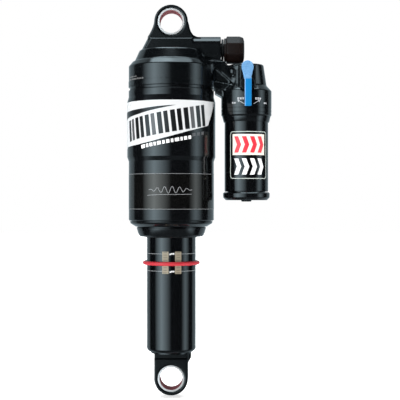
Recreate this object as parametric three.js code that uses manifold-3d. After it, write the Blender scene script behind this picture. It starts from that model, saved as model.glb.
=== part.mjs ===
// Bicycle rear air shock with a side reservoir, in millimetres, +Z up.
// Origin: centre of the upper mounting eye. The stroke runs along Z, the eye bolts along Y,
// and the reservoir hangs beside the air can on the +X side.
import * as THREE from "three";
import { mergeVertices } from "three/addons/utils/BufferGeometryUtils.js";
import Module from "manifold-3d";

const wasm = await Module();
wasm.setup();

// ---- Driving dimensions -------------------------------------------------------------------
const EYE_TO_EYE = 200; // extended, bolt centre to bolt centre
const STROKE = 57;
const GAP = 0.3; // between pieces that touch
const FIT = 0.1; // radial, between a ring and its seat
const SEGMENTS = 24; // around a large diameter
const FEW = 16; // around a small one
const SMALL = 12; // around a pin or a drilled hole

// Mounting eyes and their bushes
const EYE_WIDTH = 12.7;
const EYE_R = 9.5;
const BUSH_BORE_R = 6.35;
const BUSH_WALL = 1.1;
const BUSH_SLIT = 0.4;

// Head: the forging with the upper eye, the can flange, the arm and the reservoir head
const HEAD_TOP_Z = -8.4;
const HEAD_TOP_R = 13.4;
const HEAD_FLAT_Y = 7.8; // half depth of the flats under the eye
const HEAD_STEP_Z = -15.6; // where the flats end and the full cone starts
const CONE_FOOT_Z = -21.8;
const CONE_FOOT_R = 20.6;
const FLANGE_CHAMFER_R = 21.2;
const FLANGE_TOP_Z = -24.8;
const FLANGE_R = 24.15;
const FLANGE_LIP = 0.25;
const FLANGE_BOTTOM_Z = -36.6;
const LAND_R = 23.5; // the narrower land between the flange and the sleeve
const LAND_FOOT_Z = -38;
const HEAD_FLOOR_Z = -28; // roof of the air chamber
const ARM_HALF_Y = 8.2; // half thickness of the arm that carries the reservoir
const ARM_POCKET_DEPTH = 2;
const ARM_ROOT_X = 8; // where the arm starts, inside the cone

// Air can, its sleeve and the lower end cap
const CAN_BORE_R = 19;
const CAN_WALL = 2;
const SLEEVE_TOP_Z = -38.3;
const SLEEVE_R = 25;
const SLEEVE_END_R = 24;
const SLEEVE_WALL = 1.6;
const SLEEVE_WIDE_TOP_Z = -45.4;
const SLEEVE_WIDE_FOOT_Z = -75.7;
const SLEEVE_STEP = 2.2; // height of the taper at each end of the wide part
const SLEEVE_FOOT_Z = -111.6;
const CAN_FOOT_Z = -114.8;
const CAN_FOOT_R = 20.2;
const CAN_COLLAR_HEIGHT = 6;
const CAP_FOOT_Z = -120.5;
const CAP_R = 19.7;
const CAP_PLUG_HEIGHT = 11;
const CORD_R = 0.7; // section radius of the large O-rings

// Damper
const TUBE_R = 13.85;
const TUBE_WALL = 2;
const TUBE_FOOT_HEIGHT = 14.7; // above the lower eye's centre
const TUBE_CORNER = 1.8;
const SHAFT_R = 5;
const SHAFT_BORE_R = 2.6;
const SHAFT_TOP_Z = -19;
const PISTON_HEIGHT = 7;
const NUT_HEIGHT = 4;
const FLOOR_CLEARANCE = 1.5; // left under the piston nut at full stroke
const AIR_PISTON_HEIGHT = 12;
const RUNNING = 0.15; // radial clearance of what slides
const ROD_R = 1.5;

// Compression lever
const LEVER_Z = -35.6;
const LEVER_REACH = 12.6;
const LEVER_TIP_R = 3.4;
const LEVER_STEM_R = 1.95;
const LEVER_THICKNESS = 2;
const LEVER_BACK_Y = -15.4;
const LEVER_PAD_R = 4.3;

// Reservoir
const RESERVOIR_X = 42.4;
const NECK_TOP_Z = -23.8;
const NECK_TOP_R = 9.6;
const NECK_FOOT_Z = -35.5;
const NECK_FOOT_R = 11.4;
const BARREL_TOP_Z = -38.6;
const BARREL_R = 14.2;
const BARREL_FOOT_Z = -52.4;
const BARREL_LIP_R = 12.9;
const BARREL_LIP_Z = -56.2;
const RESERVOIR_R = 12.3;
const RESERVOIR_WALL = 1.5;
const RESERVOIR_TOP_Z = -44.3;
const RESERVOIR_FOOT_Z = -95.3;
const RESERVOIR_CAP_R = 13.2;
const RESERVOIR_CAP_HEIGHT = 4.8;
const CAP_PLUG_DEPTH = 6;
const FLOATER_TOP_Z = -62;
const FLOATER_HEIGHT = 8;

// Air valve
const VALVE_Z = -15.4;
const VALVE_BOSS_R = 7.2;
const VALVE_BOSS_END_X = 28;
const VALVE_STEM_R = 3.9;
const VALVE_STEM_END_X = 38;
const VALVE_CAP_R = 8;
const VALVE_CAP_START_X = 29.8;
const VALVE_CAP_END_X = 41.1;

// Rebound adjuster, on the back of the head
const CAM_Z = -15;
const CAM_R = 2.4;
const CAM_OFFSET = 0.6;
const KNOB_R = 6.4;
const KNOB_HEIGHT = 5.5;

// Sag ring
const SAG_RING_Z = -135.3;
const SAG_RING_CORD_R = 0.85;

// ---- Worked out from the above ------------------------------------------------------------
const LOWER_EYE_Z = -EYE_TO_EYE;
const TUBE_FOOT_Z = LOWER_EYE_Z + TUBE_FOOT_HEIGHT;
const BUSH_R = BUSH_BORE_R + BUSH_WALL;
const CAN_R = CAN_BORE_R + CAN_WALL;
const ARM_TOP_Z = NECK_TOP_Z - 0.7;
const COLLAR_R = SLEEVE_END_R - SLEEVE_WALL - FIT;
const TUBE_BORE_R = TUBE_R - TUBE_WALL;
const CAP_TOP_Z = CAN_FOOT_Z + CAP_PLUG_HEIGHT;
const AIR_PISTON_FOOT_Z = CAP_TOP_Z + 1;
const AIR_PISTON_TOP_Z = AIR_PISTON_FOOT_Z + AIR_PISTON_HEIGHT;
const TUBE_TOP_Z = AIR_PISTON_FOOT_Z + 5;
const PLUG_TOP_Z = TUBE_FOOT_Z + 3;
const SHAFT_FOOT_Z = PLUG_TOP_Z + STROKE + FLOOR_CLEARANCE;
const PISTON_FOOT_Z = SHAFT_FOOT_Z + NUT_HEIGHT + 1.6;
const PISTON_TOP_Z = PISTON_FOOT_Z + PISTON_HEIGHT;
const SLIDE_R = TUBE_R + RUNNING;
const RESERVOIR_BORE_R = RESERVOIR_R - RESERVOIR_WALL;
const BUMPER_FOOT_Z = AIR_PISTON_TOP_Z + STROKE + 0.5;

// ---- Materials ----------------------------------------------------------------------------
const finish = (color, roughness, metalness) =>
  new THREE.MeshStandardMaterial({ color, roughness, metalness });
const BLACK_FORGING = finish(0x17191b, 0.42, 0.7);
const BLACK_ANODISE = finish(0x0d0f11, 0.22, 0.8);
const CHROME = finish(0xc8ccd0, 0.12, 1);
const STEEL = finish(0x8b9095, 0.35, 1);
const ALLOY = finish(0x9fa4a8, 0.4, 1);
const BRASS = finish(0xb59a55, 0.35, 1);
const RUBBER = finish(0x101010, 0.8, 0);
const RED_RUBBER = finish(0xb8202c, 0.45, 0);
const LINER = finish(0x9a4a50, 0.5, 0.2);
const PTFE = finish(0x5c4a33, 0.6, 0);
const BLUE_ANODISE = finish(0x1b84cc, 0.3, 0.7);
const RED_ANODISE = finish(0xa51f2a, 0.3, 0.7);
const BLACK_PLASTIC = finish(0x121010, 0.35, 0);

// ---- Shapes -------------------------------------------------------------------------------
// A profile of [radius, height] points, counter-clockwise, turned about +Z. It closes on itself,
// unless it starts and ends on the axis.
function turned(profile, segments = SEGMENTS) {
  const points = profile.map(([r, z]) => new THREE.Vector2(r, z));
  if (profile[0][0] > 0) points.push(points[0]);
  return new THREE.LatheGeometry(points, segments).rotateX(Math.PI / 2);
}

function tubeOf(inner, outer, bottom, top, segments = SEGMENTS) {
  return turned([[inner, bottom], [outer, bottom], [outer, top], [inner, top]], segments);
}

// A rod from the axis out, with a chamfer at each end.
function rodOf(radius, bottom, top, chamfer = 0, segments = SEGMENTS) {
  const inner = radius - chamfer;
  const outline = [[inner, bottom], [radius, bottom + chamfer], [radius, top - chamfer], [inner, top]];
  if (!chamfer) outline.splice(1, 2);
  return turned([[0, bottom], ...outline, [0, top]], segments);
}

// A ring of round rubber cord: centre radius, height and section radius.
function ringOf(radius, z, cord, sides = 6, segments = SEGMENTS) {
  const section = Array.from({ length: sides }, (_, i) => {
    const a = ((i + 0.5) / sides) * 2 * Math.PI;
    return [radius + cord * Math.cos(a), z + cord * Math.sin(a)];
  });
  return turned(section, segments);
}

// Turns a piece made about +Z so that it runs along +X or +Y.
const alongX = (geometry) => geometry.rotateY(Math.PI / 2);
const alongY = (geometry) => geometry.rotateX(-Math.PI / 2);
const at = (geometry, x, y, z) => geometry.translate(x, y, z);

function boxOf(x0, x1, y0, y1, z0, z1) {
  return at(new THREE.BoxGeometry(x1 - x0, y1 - y0, z1 - z0), (x0 + x1) / 2, (y0 + y1) / 2, (z0 + z1) / 2);
}

// A flat outline in X and Z, given thickness from y0 to y1.
function plateOf(shape, y0, y1, curveSegments = 8) {
  const made = new THREE.ExtrudeGeometry(shape, { depth: y1 - y0, bevelEnabled: false, curveSegments });
  return made.rotateX(Math.PI / 2).translate(0, y1, 0);
}

function outlineOf(points) {
  return new THREE.Shape(points.map(([x, z]) => new THREE.Vector2(x, z)));
}

function solidOf(geometry) {
  const bare = geometry.index ? geometry.toNonIndexed() : geometry.clone();
  bare.deleteAttribute("normal");
  bare.deleteAttribute("uv");
  const merged = mergeVertices(bare, 1e-4);
  return new wasm.Manifold(
    new wasm.Mesh({
      numProp: 3,
      vertProperties: merged.attributes.position.array,
      triVerts: new Uint32Array(merged.index.array),
    }),
  );
}

const join = (...geometries) => geometries.map(solidOf).reduce((a, b) => a.add(b));
const cut = (solid, ...geometries) => geometries.reduce((a, b) => a.subtract(solidOf(b)), solid);

function geometryOf(solid) {
  const made = solid.getMesh();
  const positions = new Float32Array(made.numVert * 3);
  for (let i = 0; i < made.numVert; i++) {
    positions.set(made.vertProperties.subarray(i * made.numProp, i * made.numProp + 3), i * 3);
  }
  const geometry = new THREE.BufferGeometry();
  geometry.setAttribute("position", new THREE.BufferAttribute(positions, 3));
  geometry.setIndex(new THREE.BufferAttribute(made.triVerts, 1));
  return geometry;
}

const shock = new THREE.Group();
const reservoir = new THREE.Group();
reservoir.position.x = RESERVOIR_X;
const valve = new THREE.Group();
valve.position.z = VALVE_Z;
const lower = new THREE.Group();
lower.position.z = LOWER_EYE_Z;
shock.add(reservoir, valve, lower);

function piece(name, shape, material, group = shock) {
  const geometry = shape.isBufferGeometry ? shape : geometryOf(shape);
  const mesh = new THREE.Mesh(geometry, material);
  mesh.name = name;
  group.add(mesh);
}

// ---- Mounting bushes ----------------------------------------------------------------------
// A rolled strip: the slit faces +X.
function bush() {
  const half = EYE_WIDTH / 2;
  const ring = alongY(tubeOf(BUSH_BORE_R, BUSH_R, -half, half));
  return cut(solidOf(ring), boxOf(0, 2 * BUSH_R, -EYE_WIDTH, EYE_WIDTH, -BUSH_SLIT / 2, BUSH_SLIT / 2));
}

const eyeBore = () => alongY(rodOf(BUSH_R + FIT, -EYE_WIDTH, EYE_WIDTH));

// ---- Head ---------------------------------------------------------------------------------
function upperEye() {
  const shape = new THREE.Shape();
  const flare = HEAD_TOP_R - 0.9;
  shape.moveTo(EYE_R, 0);
  shape.absarc(0, 0, EYE_R, 0, Math.PI, false);
  shape.quadraticCurveTo(-EYE_R - 0.6, HEAD_TOP_Z / 2, -flare, HEAD_TOP_Z - 0.5);
  shape.lineTo(-flare, HEAD_STEP_Z);
  shape.lineTo(flare, HEAD_STEP_Z);
  shape.lineTo(flare, HEAD_TOP_Z - 0.5);
  shape.quadraticCurveTo(EYE_R + 0.4, HEAD_TOP_Z / 2, EYE_R, 0);
  return plateOf(shape, -EYE_WIDTH / 2, EYE_WIDTH / 2, 9);
}

// The cone under the eye, milled flat front and back down to the step.
function headCone() {
  const slope = (CONE_FOOT_R - HEAD_TOP_R) / (HEAD_TOP_Z - CONE_FOOT_Z);
  const stepR = HEAD_TOP_R + slope * (HEAD_TOP_Z - HEAD_STEP_Z);
  const cone = [[0, HEAD_STEP_Z], [stepR, HEAD_STEP_Z], [HEAD_TOP_R, HEAD_TOP_Z], [0, HEAD_TOP_Z]];
  const milled = solidOf(turned(cone));
  const bevel = 1.4;
  const flats = new THREE.Shape([
    new THREE.Vector2(-HEAD_FLAT_Y, HEAD_STEP_Z - 1),
    new THREE.Vector2(HEAD_FLAT_Y, HEAD_STEP_Z - 1),
    new THREE.Vector2(HEAD_FLAT_Y, HEAD_TOP_Z - 3 * bevel / 2),
    new THREE.Vector2(EYE_WIDTH / 2, HEAD_TOP_Z - bevel / 2),
    new THREE.Vector2(-EYE_WIDTH / 2, HEAD_TOP_Z - bevel / 2),
    new THREE.Vector2(-HEAD_FLAT_Y, HEAD_TOP_Z - 3 * bevel / 2),
  ]);
  const slab = plateOf(flats, -2 * CONE_FOOT_R, 2 * CONE_FOOT_R).rotateZ(Math.PI / 2);
  const lip = FLANGE_R + FLANGE_LIP;
  const flange = turned([
    [0, LAND_FOOT_Z],
    [LAND_R, LAND_FOOT_Z],
    [LAND_R, FLANGE_BOTTOM_Z],
    [lip, FLANGE_BOTTOM_Z],
    [lip, FLANGE_BOTTOM_Z + 3],
    [FLANGE_R, FLANGE_BOTTOM_Z + 3.4],
    [FLANGE_R, FLANGE_TOP_Z],
    [FLANGE_CHAMFER_R, CONE_FOOT_Z],
    [CONE_FOOT_R, CONE_FOOT_Z],
    [stepR + 0.4, HEAD_STEP_Z - 0.8],
    [stepR - 0.5, HEAD_STEP_Z + 0.1],
    [0, HEAD_STEP_Z + 0.1],
  ]);
  return [milled.intersect(solidOf(slab)), solidOf(flange)];
}

function arm() {
  const web = outlineOf([
    [ARM_ROOT_X, VALVE_Z - VALVE_BOSS_R + 1],
    [VALVE_BOSS_END_X + 2.2, VALVE_Z - VALVE_BOSS_R + 0.1],
    [VALVE_BOSS_END_X + 4, ARM_TOP_Z],
    [RESERVOIR_X, ARM_TOP_Z],
    [RESERVOIR_X, BARREL_TOP_Z - 6],
    [RESERVOIR_X - BARREL_R + 0.5, BARREL_TOP_Z - 3.4],
    [FLANGE_R + 0.65, FLANGE_BOTTOM_Z - 3.5],
    [FLANGE_R - 2, FLANGE_BOTTOM_Z + 0.2],
    [ARM_ROOT_X, FLANGE_BOTTOM_Z + 0.2],
  ]);
  return plateOf(web, -ARM_HALF_Y, ARM_HALF_Y);
}

// Two triangular pockets in each face of the arm leave two slanting ribs between the can and the
// reservoir. The upper one has its square corner beside the reservoir, the lower one beside the can.
const UPPER_POCKET = { right: RESERVOIR_X - 3.8, top: ARM_TOP_Z - 2, width: 7, height: 8 };
const LOWER_POCKET = { left: FLANGE_R + 0.4, top: ARM_TOP_Z - 2.6, width: 11.05, drop: 9.2, height: 6.4 };

function armPockets() {
  const { right, width, height } = UPPER_POCKET;
  const { left, top } = LOWER_POCKET;
  const outlines = [
    [[right - width, UPPER_POCKET.top], [right, UPPER_POCKET.top], [right, UPPER_POCKET.top - height]],
    [[left, top], [left + LOWER_POCKET.width, top - LOWER_POCKET.drop], [left, top - LOWER_POCKET.height]],
  ];
  const floor = ARM_HALF_Y - ARM_POCKET_DEPTH;
  return outlines.map(outlineOf).flatMap((outline) => [
    plateOf(outline, floor, ARM_HALF_Y + 1),
    plateOf(outline, -ARM_HALF_Y - 1, -floor),
  ]);
}

function reservoirHead() {
  return at(
    turned([
      [0, BARREL_LIP_Z],
      [BARREL_LIP_R, BARREL_LIP_Z],
      [BARREL_R - 0.5, BARREL_FOOT_Z - 1],
      [BARREL_R, BARREL_FOOT_Z],
      [BARREL_R, BARREL_TOP_Z],
      [NECK_FOOT_R, NECK_FOOT_Z],
      [NECK_TOP_R, NECK_TOP_Z],
      [0, NECK_TOP_Z],
    ]),
    RESERVOIR_X, 0, 0,
  );
}

// The raised pad that carries the lever, standing on the front of the reservoir neck.
function leverPad() {
  const shape = new THREE.Shape();
  shape.absarc(RESERVOIR_X, LEVER_Z, LEVER_PAD_R, Math.PI, 2 * Math.PI, false);
  shape.lineTo(RESERVOIR_X + LEVER_PAD_R, NECK_TOP_Z - 1.2);
  shape.lineTo(RESERVOIR_X - LEVER_PAD_R, NECK_TOP_Z - 1.2);
  return plateOf(shape, LEVER_BACK_Y + 2.6, -4, 8);
}

const SPINDLE_R = 2.4;
const HUB_R = 4.1;
const HUB_BACK_Y = LEVER_BACK_Y + 2.3;
const DETENT = { radius: 3.45, ball: 0.65, bore: 0.85, depth: 5.2 };
const DETENT_Z = LEVER_Z + DETENT.radius;
const OIL_BORE_R = 2.2;
const AIR_BORE_R = 1.5;
const AIR_BORE_X = 14;
const VALVE_SEAT_X = 19;
const CHAMBER_ROOF_Z = BARREL_TOP_Z + 0.6;

// The oil way from the top of the damper shaft, through the arm, to the reservoir.
function oilWay() {
  const start = new THREE.Vector3(0, 0, SHAFT_TOP_Z - 3);
  const end = new THREE.Vector3(RESERVOIR_X, 0, CHAMBER_ROOF_Z);
  const along = end.clone().sub(start);
  const bore = rodOf(OIL_BORE_R, 0, along.length(), 0, SMALL);
  const up = new THREE.Vector3(0, 0, 1);
  bore.applyQuaternion(new THREE.Quaternion().setFromUnitVectors(up, along.normalize()));
  return at(bore, start.x, start.y, start.z);
}

function head() {
  const outer = [...headCone(), ...[
    upperEye(),
    at(alongX(rodOf(VALVE_BOSS_R, 4, VALVE_BOSS_END_X, 0.6, FEW)), 0, 0, VALVE_Z),
    arm(),
    reservoirHead(),
    leverPad(),
  ].map(solidOf)].reduce((a, b) => a.add(b));
  const bores = [
    eyeBore(),
    ...armPockets(),
    rodOf(CAN_R + FIT + 0.8, FLANGE_BOTTOM_Z - 10, HEAD_FLOOR_Z),
    rodOf(SHAFT_R + FIT, HEAD_FLOOR_Z - 1, SHAFT_TOP_Z + FIT, 0, FEW),
    rodOf(SHAFT_BORE_R, SHAFT_TOP_Z - 1, CAM_Z, 0, FEW),
    at(alongY(rodOf(CAM_R + CAM_OFFSET + FIT, -3.4, 2 * HEAD_FLAT_Y, 0, FEW)), 0, 0, CAM_Z),
    at(alongX(rodOf(VALVE_STEM_R + FIT, VALVE_SEAT_X, VALVE_BOSS_END_X + 1, 0, FEW)), 0, 0, VALVE_Z),
    at(alongX(rodOf(AIR_BORE_R, AIR_BORE_X - AIR_BORE_R, VALVE_SEAT_X + 1, 0, SMALL)), 0, 0, VALVE_Z),
    at(rodOf(AIR_BORE_R, HEAD_FLOOR_Z - 1, VALVE_Z, 0, SMALL), AIR_BORE_X, 0, 0),
    at(rodOf(RESERVOIR_R + FIT, BARREL_LIP_Z - 1, RESERVOIR_TOP_Z + GAP), RESERVOIR_X, 0, 0),
    at(rodOf(RESERVOIR_BORE_R - 1, BARREL_LIP_Z - 1, CHAMBER_ROOF_Z), RESERVOIR_X, 0, 0),
    at(alongY(rodOf(SPINDLE_R + FIT, -20, 4.3, 0, FEW)), RESERVOIR_X, 0, LEVER_Z),
    at(alongY(rodOf(DETENT.bore, -20, HUB_BACK_Y + DETENT.depth, 0, SMALL)), RESERVOIR_X, 0, DETENT_Z),
    oilWay(),
    // Clears the can and its sleeve where the arm passes over them.
    tubeOf(CAN_R, SLEEVE_R + 0.4, LAND_FOOT_Z - 12, LAND_FOOT_Z),
    // Spot faces behind the lever's hub and round the rebound knob.
    at(alongY(rodOf(HUB_R + 0.5, -20, HUB_BACK_Y + GAP, 0, FEW)), RESERVOIR_X, 0, LEVER_Z),
    at(alongY(rodOf(KNOB_R + 0.8, HEAD_FLAT_Y, CONE_FOOT_R + 2, 0, FEW)), 0, 0, CAM_Z),
  ];
  return cut(outer, ...bores);
}

piece("head_forging", head(), BLACK_FORGING);
piece("upper_bush", bush(), LINER);

// ---- Air can ------------------------------------------------------------------------------
const GROOVE_R = COLLAR_R - 2 * CORD_R + FIT;
const UPPER_COLLAR_Z = SLEEVE_TOP_Z - GAP;
const LOWER_COLLAR_Z = SLEEVE_FOOT_Z + CAN_COLLAR_HEIGHT;
const GROOVE = 2 * CORD_R + 0.4;

function groove(centre, radius, height) {
  const half = height / 2;
  return tubeOf(radius, radius + 6, centre - half, centre + half);
}

const CAN_THREAD_R = CAN_R + 0.8;
const upperGrooveZ = UPPER_COLLAR_Z - CAN_COLLAR_HEIGHT / 2;
const lowerGrooveZ = LOWER_COLLAR_Z - CAN_COLLAR_HEIGHT / 2;
const threadGrooveZ = HEAD_FLOOR_Z - 2.4;

piece(
  "air_can",
  cut(
    solidOf(turned([
      [CAN_BORE_R, CAN_FOOT_Z],
      [CAN_FOOT_R, CAN_FOOT_Z],
      [SLEEVE_END_R - 1, SLEEVE_FOOT_Z - GAP - 1.2],
      [SLEEVE_END_R - 0.4, SLEEVE_FOOT_Z - GAP],
      [COLLAR_R, SLEEVE_FOOT_Z - GAP],
      [COLLAR_R, LOWER_COLLAR_Z],
      [CAN_R, LOWER_COLLAR_Z + 1],
      [CAN_R, UPPER_COLLAR_Z - CAN_COLLAR_HEIGHT - 1],
      [COLLAR_R, UPPER_COLLAR_Z - CAN_COLLAR_HEIGHT],
      [COLLAR_R, UPPER_COLLAR_Z + 0.5],
      [CAN_THREAD_R, UPPER_COLLAR_Z + 0.5],
      [CAN_THREAD_R, HEAD_FLOOR_Z - GAP],
      [CAN_BORE_R, HEAD_FLOOR_Z - GAP],
    ])),
    groove(upperGrooveZ, GROOVE_R, GROOVE),
    groove(lowerGrooveZ, GROOVE_R, GROOVE),
    groove(threadGrooveZ, CAN_THREAD_R - 1.1, 1.4),
  ),
  BLACK_ANODISE,
);
piece("sleeve_o_ring_upper", ringOf(COLLAR_R - CORD_R + FIT / 2 + 0.05, upperGrooveZ, CORD_R - 0.05), RUBBER);
piece("sleeve_o_ring_lower", ringOf(COLLAR_R - CORD_R + FIT / 2 + 0.05, lowerGrooveZ, CORD_R - 0.05), RUBBER);
piece("can_o_ring", ringOf(CAN_THREAD_R - 0.5, threadGrooveZ, 0.5), RUBBER);

// The sleeve holds the outer air volume, wide where the can is necked.
const wide = SLEEVE_R - SLEEVE_WALL;
const narrow = SLEEVE_END_R - SLEEVE_WALL;
piece(
  "outer_sleeve",
  turned([
    [narrow, SLEEVE_FOOT_Z],
    [SLEEVE_END_R - 0.5, SLEEVE_FOOT_Z],
    [SLEEVE_END_R, SLEEVE_FOOT_Z + 0.6],
    [SLEEVE_END_R, SLEEVE_WIDE_FOOT_Z - SLEEVE_STEP],
    [SLEEVE_R, SLEEVE_WIDE_FOOT_Z],
    [SLEEVE_R, SLEEVE_WIDE_TOP_Z],
    [SLEEVE_END_R + 0.1, SLEEVE_WIDE_TOP_Z + SLEEVE_STEP],
    [SLEEVE_END_R + 0.1, SLEEVE_TOP_Z],
    [narrow, SLEEVE_TOP_Z],
    [narrow, SLEEVE_WIDE_TOP_Z],
    [wide, SLEEVE_WIDE_TOP_Z - SLEEVE_STEP],
    [wide, SLEEVE_WIDE_FOOT_Z + SLEEVE_STEP],
    [narrow, SLEEVE_WIDE_FOOT_Z],
  ]),
  BLACK_ANODISE,
);

// The end cap screws into the foot of the can and holds the bush and seals that the tube runs in.
const END_CAP = {
  bushHeight: 5,
  bushWall: 1.2,
  sealHeight: 2.4,
  sealWall: 2,
  wiperHeight: 2.8,
  wiperWall: 2.2,
};
const bushZ = CAP_TOP_Z - 1;
const sealZ = bushZ - END_CAP.bushHeight - 2;
const wiperZ = CAP_FOOT_Z + END_CAP.wiperHeight;
const capBore = TUBE_R + 0.45;
piece(
  "can_end_cap",
  turned([
    [capBore + END_CAP.wiperWall, CAP_FOOT_Z],
    [CAP_R - 2, CAP_FOOT_Z],
    [CAP_R - 1.3, CAP_FOOT_Z + 0.8],
    [CAP_R, CAN_FOOT_Z - GAP - 0.5],
    [CAP_R - 0.4, CAN_FOOT_Z - GAP],
    [CAN_BORE_R - FIT, CAN_FOOT_Z - GAP],
    [CAN_BORE_R - FIT, CAP_TOP_Z],
    [capBore, CAP_TOP_Z],
    [capBore, bushZ],
    [capBore + END_CAP.bushWall, bushZ],
    [capBore + END_CAP.bushWall, bushZ - END_CAP.bushHeight],
    [capBore, bushZ - END_CAP.bushHeight],
    [capBore, sealZ],
    [capBore + END_CAP.sealWall, sealZ],
    [capBore + END_CAP.sealWall, sealZ - END_CAP.sealHeight],
    [capBore, sealZ - END_CAP.sealHeight],
    [capBore, wiperZ],
    [capBore + END_CAP.wiperWall, wiperZ],
  ]),
  BLACK_ANODISE,
);
piece(
  "can_glide_bush",
  tubeOf(SLIDE_R, capBore + END_CAP.bushWall - FIT, bushZ - END_CAP.bushHeight + FIT, bushZ - FIT),
  PTFE,
);
piece(
  "can_air_seal",
  tubeOf(SLIDE_R, capBore + END_CAP.sealWall - FIT, sealZ - END_CAP.sealHeight + FIT, sealZ - FIT),
  RUBBER,
);
piece(
  "wiper_seal",
  turned([
    [SLIDE_R, CAP_FOOT_Z - 0.5],
    [SLIDE_R + 0.7, CAP_FOOT_Z - 0.3],
    [SLIDE_R + 1, CAP_FOOT_Z + 0.2],
    [capBore + END_CAP.wiperWall - FIT, CAP_FOOT_Z + 0.2],
    [capBore + END_CAP.wiperWall - FIT, wiperZ - FIT],
    [SLIDE_R, wiperZ - FIT],
  ]),
  RUBBER,
);
piece("bottom_out_bumper", tubeOf(SHAFT_R + 3, 12.2, BUMPER_FOOT_Z, HEAD_FLOOR_Z - GAP), RUBBER);

// ---- Damper shaft and piston --------------------------------------------------------------
piece(
  "damper_shaft",
  turned([
    [SHAFT_BORE_R, SHAFT_FOOT_Z],
    [SHAFT_R - 1.5, SHAFT_FOOT_Z],
    [SHAFT_R - 1.5, PISTON_TOP_Z + 1.6],
    [SHAFT_R, PISTON_TOP_Z + 1.6],
    [SHAFT_R, SHAFT_TOP_Z],
    [SHAFT_BORE_R, SHAFT_TOP_Z],
  ], FEW),
  CHROME,
);

const SPIGOT_R = SHAFT_R - 1.5 + FIT;
const BAND = 3;

// Ports run through a piston head, parallel to its axis.
function ports(radius, portRadius, count, bottom, top) {
  return Array.from({ length: count }, (_, i) => {
    const a = (i / count) * 2 * Math.PI;
    return at(rodOf(portRadius, bottom - 1, top + 1, 0, 8), radius * Math.cos(a), radius * Math.sin(a), 0);
  });
}

piece(
  "damper_piston",
  cut(
    solidOf(turned([
      [SPIGOT_R, PISTON_FOOT_Z],
      [TUBE_BORE_R - RUNNING, PISTON_FOOT_Z],
      [TUBE_BORE_R - RUNNING, PISTON_FOOT_Z + (PISTON_HEIGHT - BAND) / 2],
      [TUBE_BORE_R - 1, PISTON_FOOT_Z + (PISTON_HEIGHT - BAND) / 2],
      [TUBE_BORE_R - 1, PISTON_TOP_Z - (PISTON_HEIGHT - BAND) / 2],
      [TUBE_BORE_R - RUNNING, PISTON_TOP_Z - (PISTON_HEIGHT - BAND) / 2],
      [TUBE_BORE_R - RUNNING, PISTON_TOP_Z],
      [SPIGOT_R, PISTON_TOP_Z],
    ])),
    ...ports(7.4, 1.3, 6, PISTON_FOOT_Z, PISTON_TOP_Z),
  ),
  ALLOY,
);
piece(
  "piston_band",
  tubeOf(
    TUBE_BORE_R - 1 + FIT, TUBE_BORE_R - 0.12,
    PISTON_FOOT_Z + (PISTON_HEIGHT - BAND) / 2 + FIT, PISTON_TOP_Z - (PISTON_HEIGHT - BAND) / 2 - FIT,
  ),
  PTFE,
);

const SHIM_HEIGHT = 0.4;

// A stack of thin steel discs, smaller away from the piston.
function shimStack(face, direction, bore, largest) {
  const steps = [largest, largest - 1.6, largest - 3.2];
  const heightOf = (i) => face + direction * i * SHIM_HEIGHT;
  const outline = steps.flatMap((r, i) => [[r, heightOf(i)], [r, heightOf(i + 1)]]);
  const end = heightOf(steps.length);
  const profile = [[bore, face], ...outline, [bore, end]];
  return turned(direction > 0 ? profile : profile.reverse(), FEW);
}

piece("compression_shims", shimStack(PISTON_TOP_Z + 0.15, 1, SPIGOT_R, 9), STEEL);
piece("rebound_shims", shimStack(PISTON_FOOT_Z - 0.15, -1, SPIGOT_R, 8.4), STEEL);

function hexNut(acrossFlats, bottom, top) {
  const corner = acrossFlats / Math.sqrt(3);
  return cut(solidOf(rodOf(corner, bottom, top, 0, 6)), rodOf(SPIGOT_R, bottom - 1, top + 1, 0, FEW));
}

piece("piston_nut", hexNut(11, SHAFT_FOOT_Z, SHAFT_FOOT_Z + NUT_HEIGHT - 0.1), STEEL);
piece("rebound_rod", rodOf(ROD_R, SHAFT_FOOT_Z + 3, CAM_Z + CAM_OFFSET - CAM_R - GAP, 0, SMALL), ALLOY);

// ---- Rebound adjuster ---------------------------------------------------------------------
// An eccentric on the end of the spindle pushes the rod down inside the shaft.
function cam() {
  const spindle = alongY(rodOf(CAM_R - CAM_OFFSET, 3.6, HEAD_FLAT_Y + 4, 0, FEW));
  const seat = alongY(rodOf(CAM_R + CAM_OFFSET, 4, HEAD_FLAT_Y - 0.5, 0, FEW));
  const eccentric = at(alongY(rodOf(CAM_R, -3, 4.2, 0, FEW)), 0, 0, CAM_OFFSET);
  return join(spindle, seat, eccentric).translate(0, 0, CAM_Z);
}

function knob() {
  const notch = 0.7;
  const start = HEAD_FLAT_Y + GAP;
  const body = solidOf(at(alongY(rodOf(KNOB_R, start, start + KNOB_HEIGHT, 0.6)), 0, 0, CAM_Z));
  const notches = Array.from({ length: 12 }, (_, i) => {
    const a = (i / 12) * 2 * Math.PI;
    return at(
      alongY(rodOf(notch, start - 1, start + KNOB_HEIGHT + 1, 0, 8)),
      (KNOB_R + 0.15) * Math.cos(a), 0, CAM_Z + (KNOB_R + 0.15) * Math.sin(a),
    );
  });
  const seat = HEAD_FLAT_Y + 4;
  const bore = at(alongY(rodOf(CAM_R - CAM_OFFSET + FIT, start - 1, seat + FIT, 0, FEW)), 0, 0, CAM_Z);
  const recess = at(alongY(rodOf(2.1, seat, start + KNOB_HEIGHT + 1, 0, FEW)), 0, 0, CAM_Z);
  return cut(body, ...notches, bore, recess);
}

const KNOB_SCREW = { head: 1.9, bottom: HEAD_FLAT_Y + 4.3, top: HEAD_FLAT_Y + GAP + KNOB_HEIGHT - 0.3 };

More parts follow.
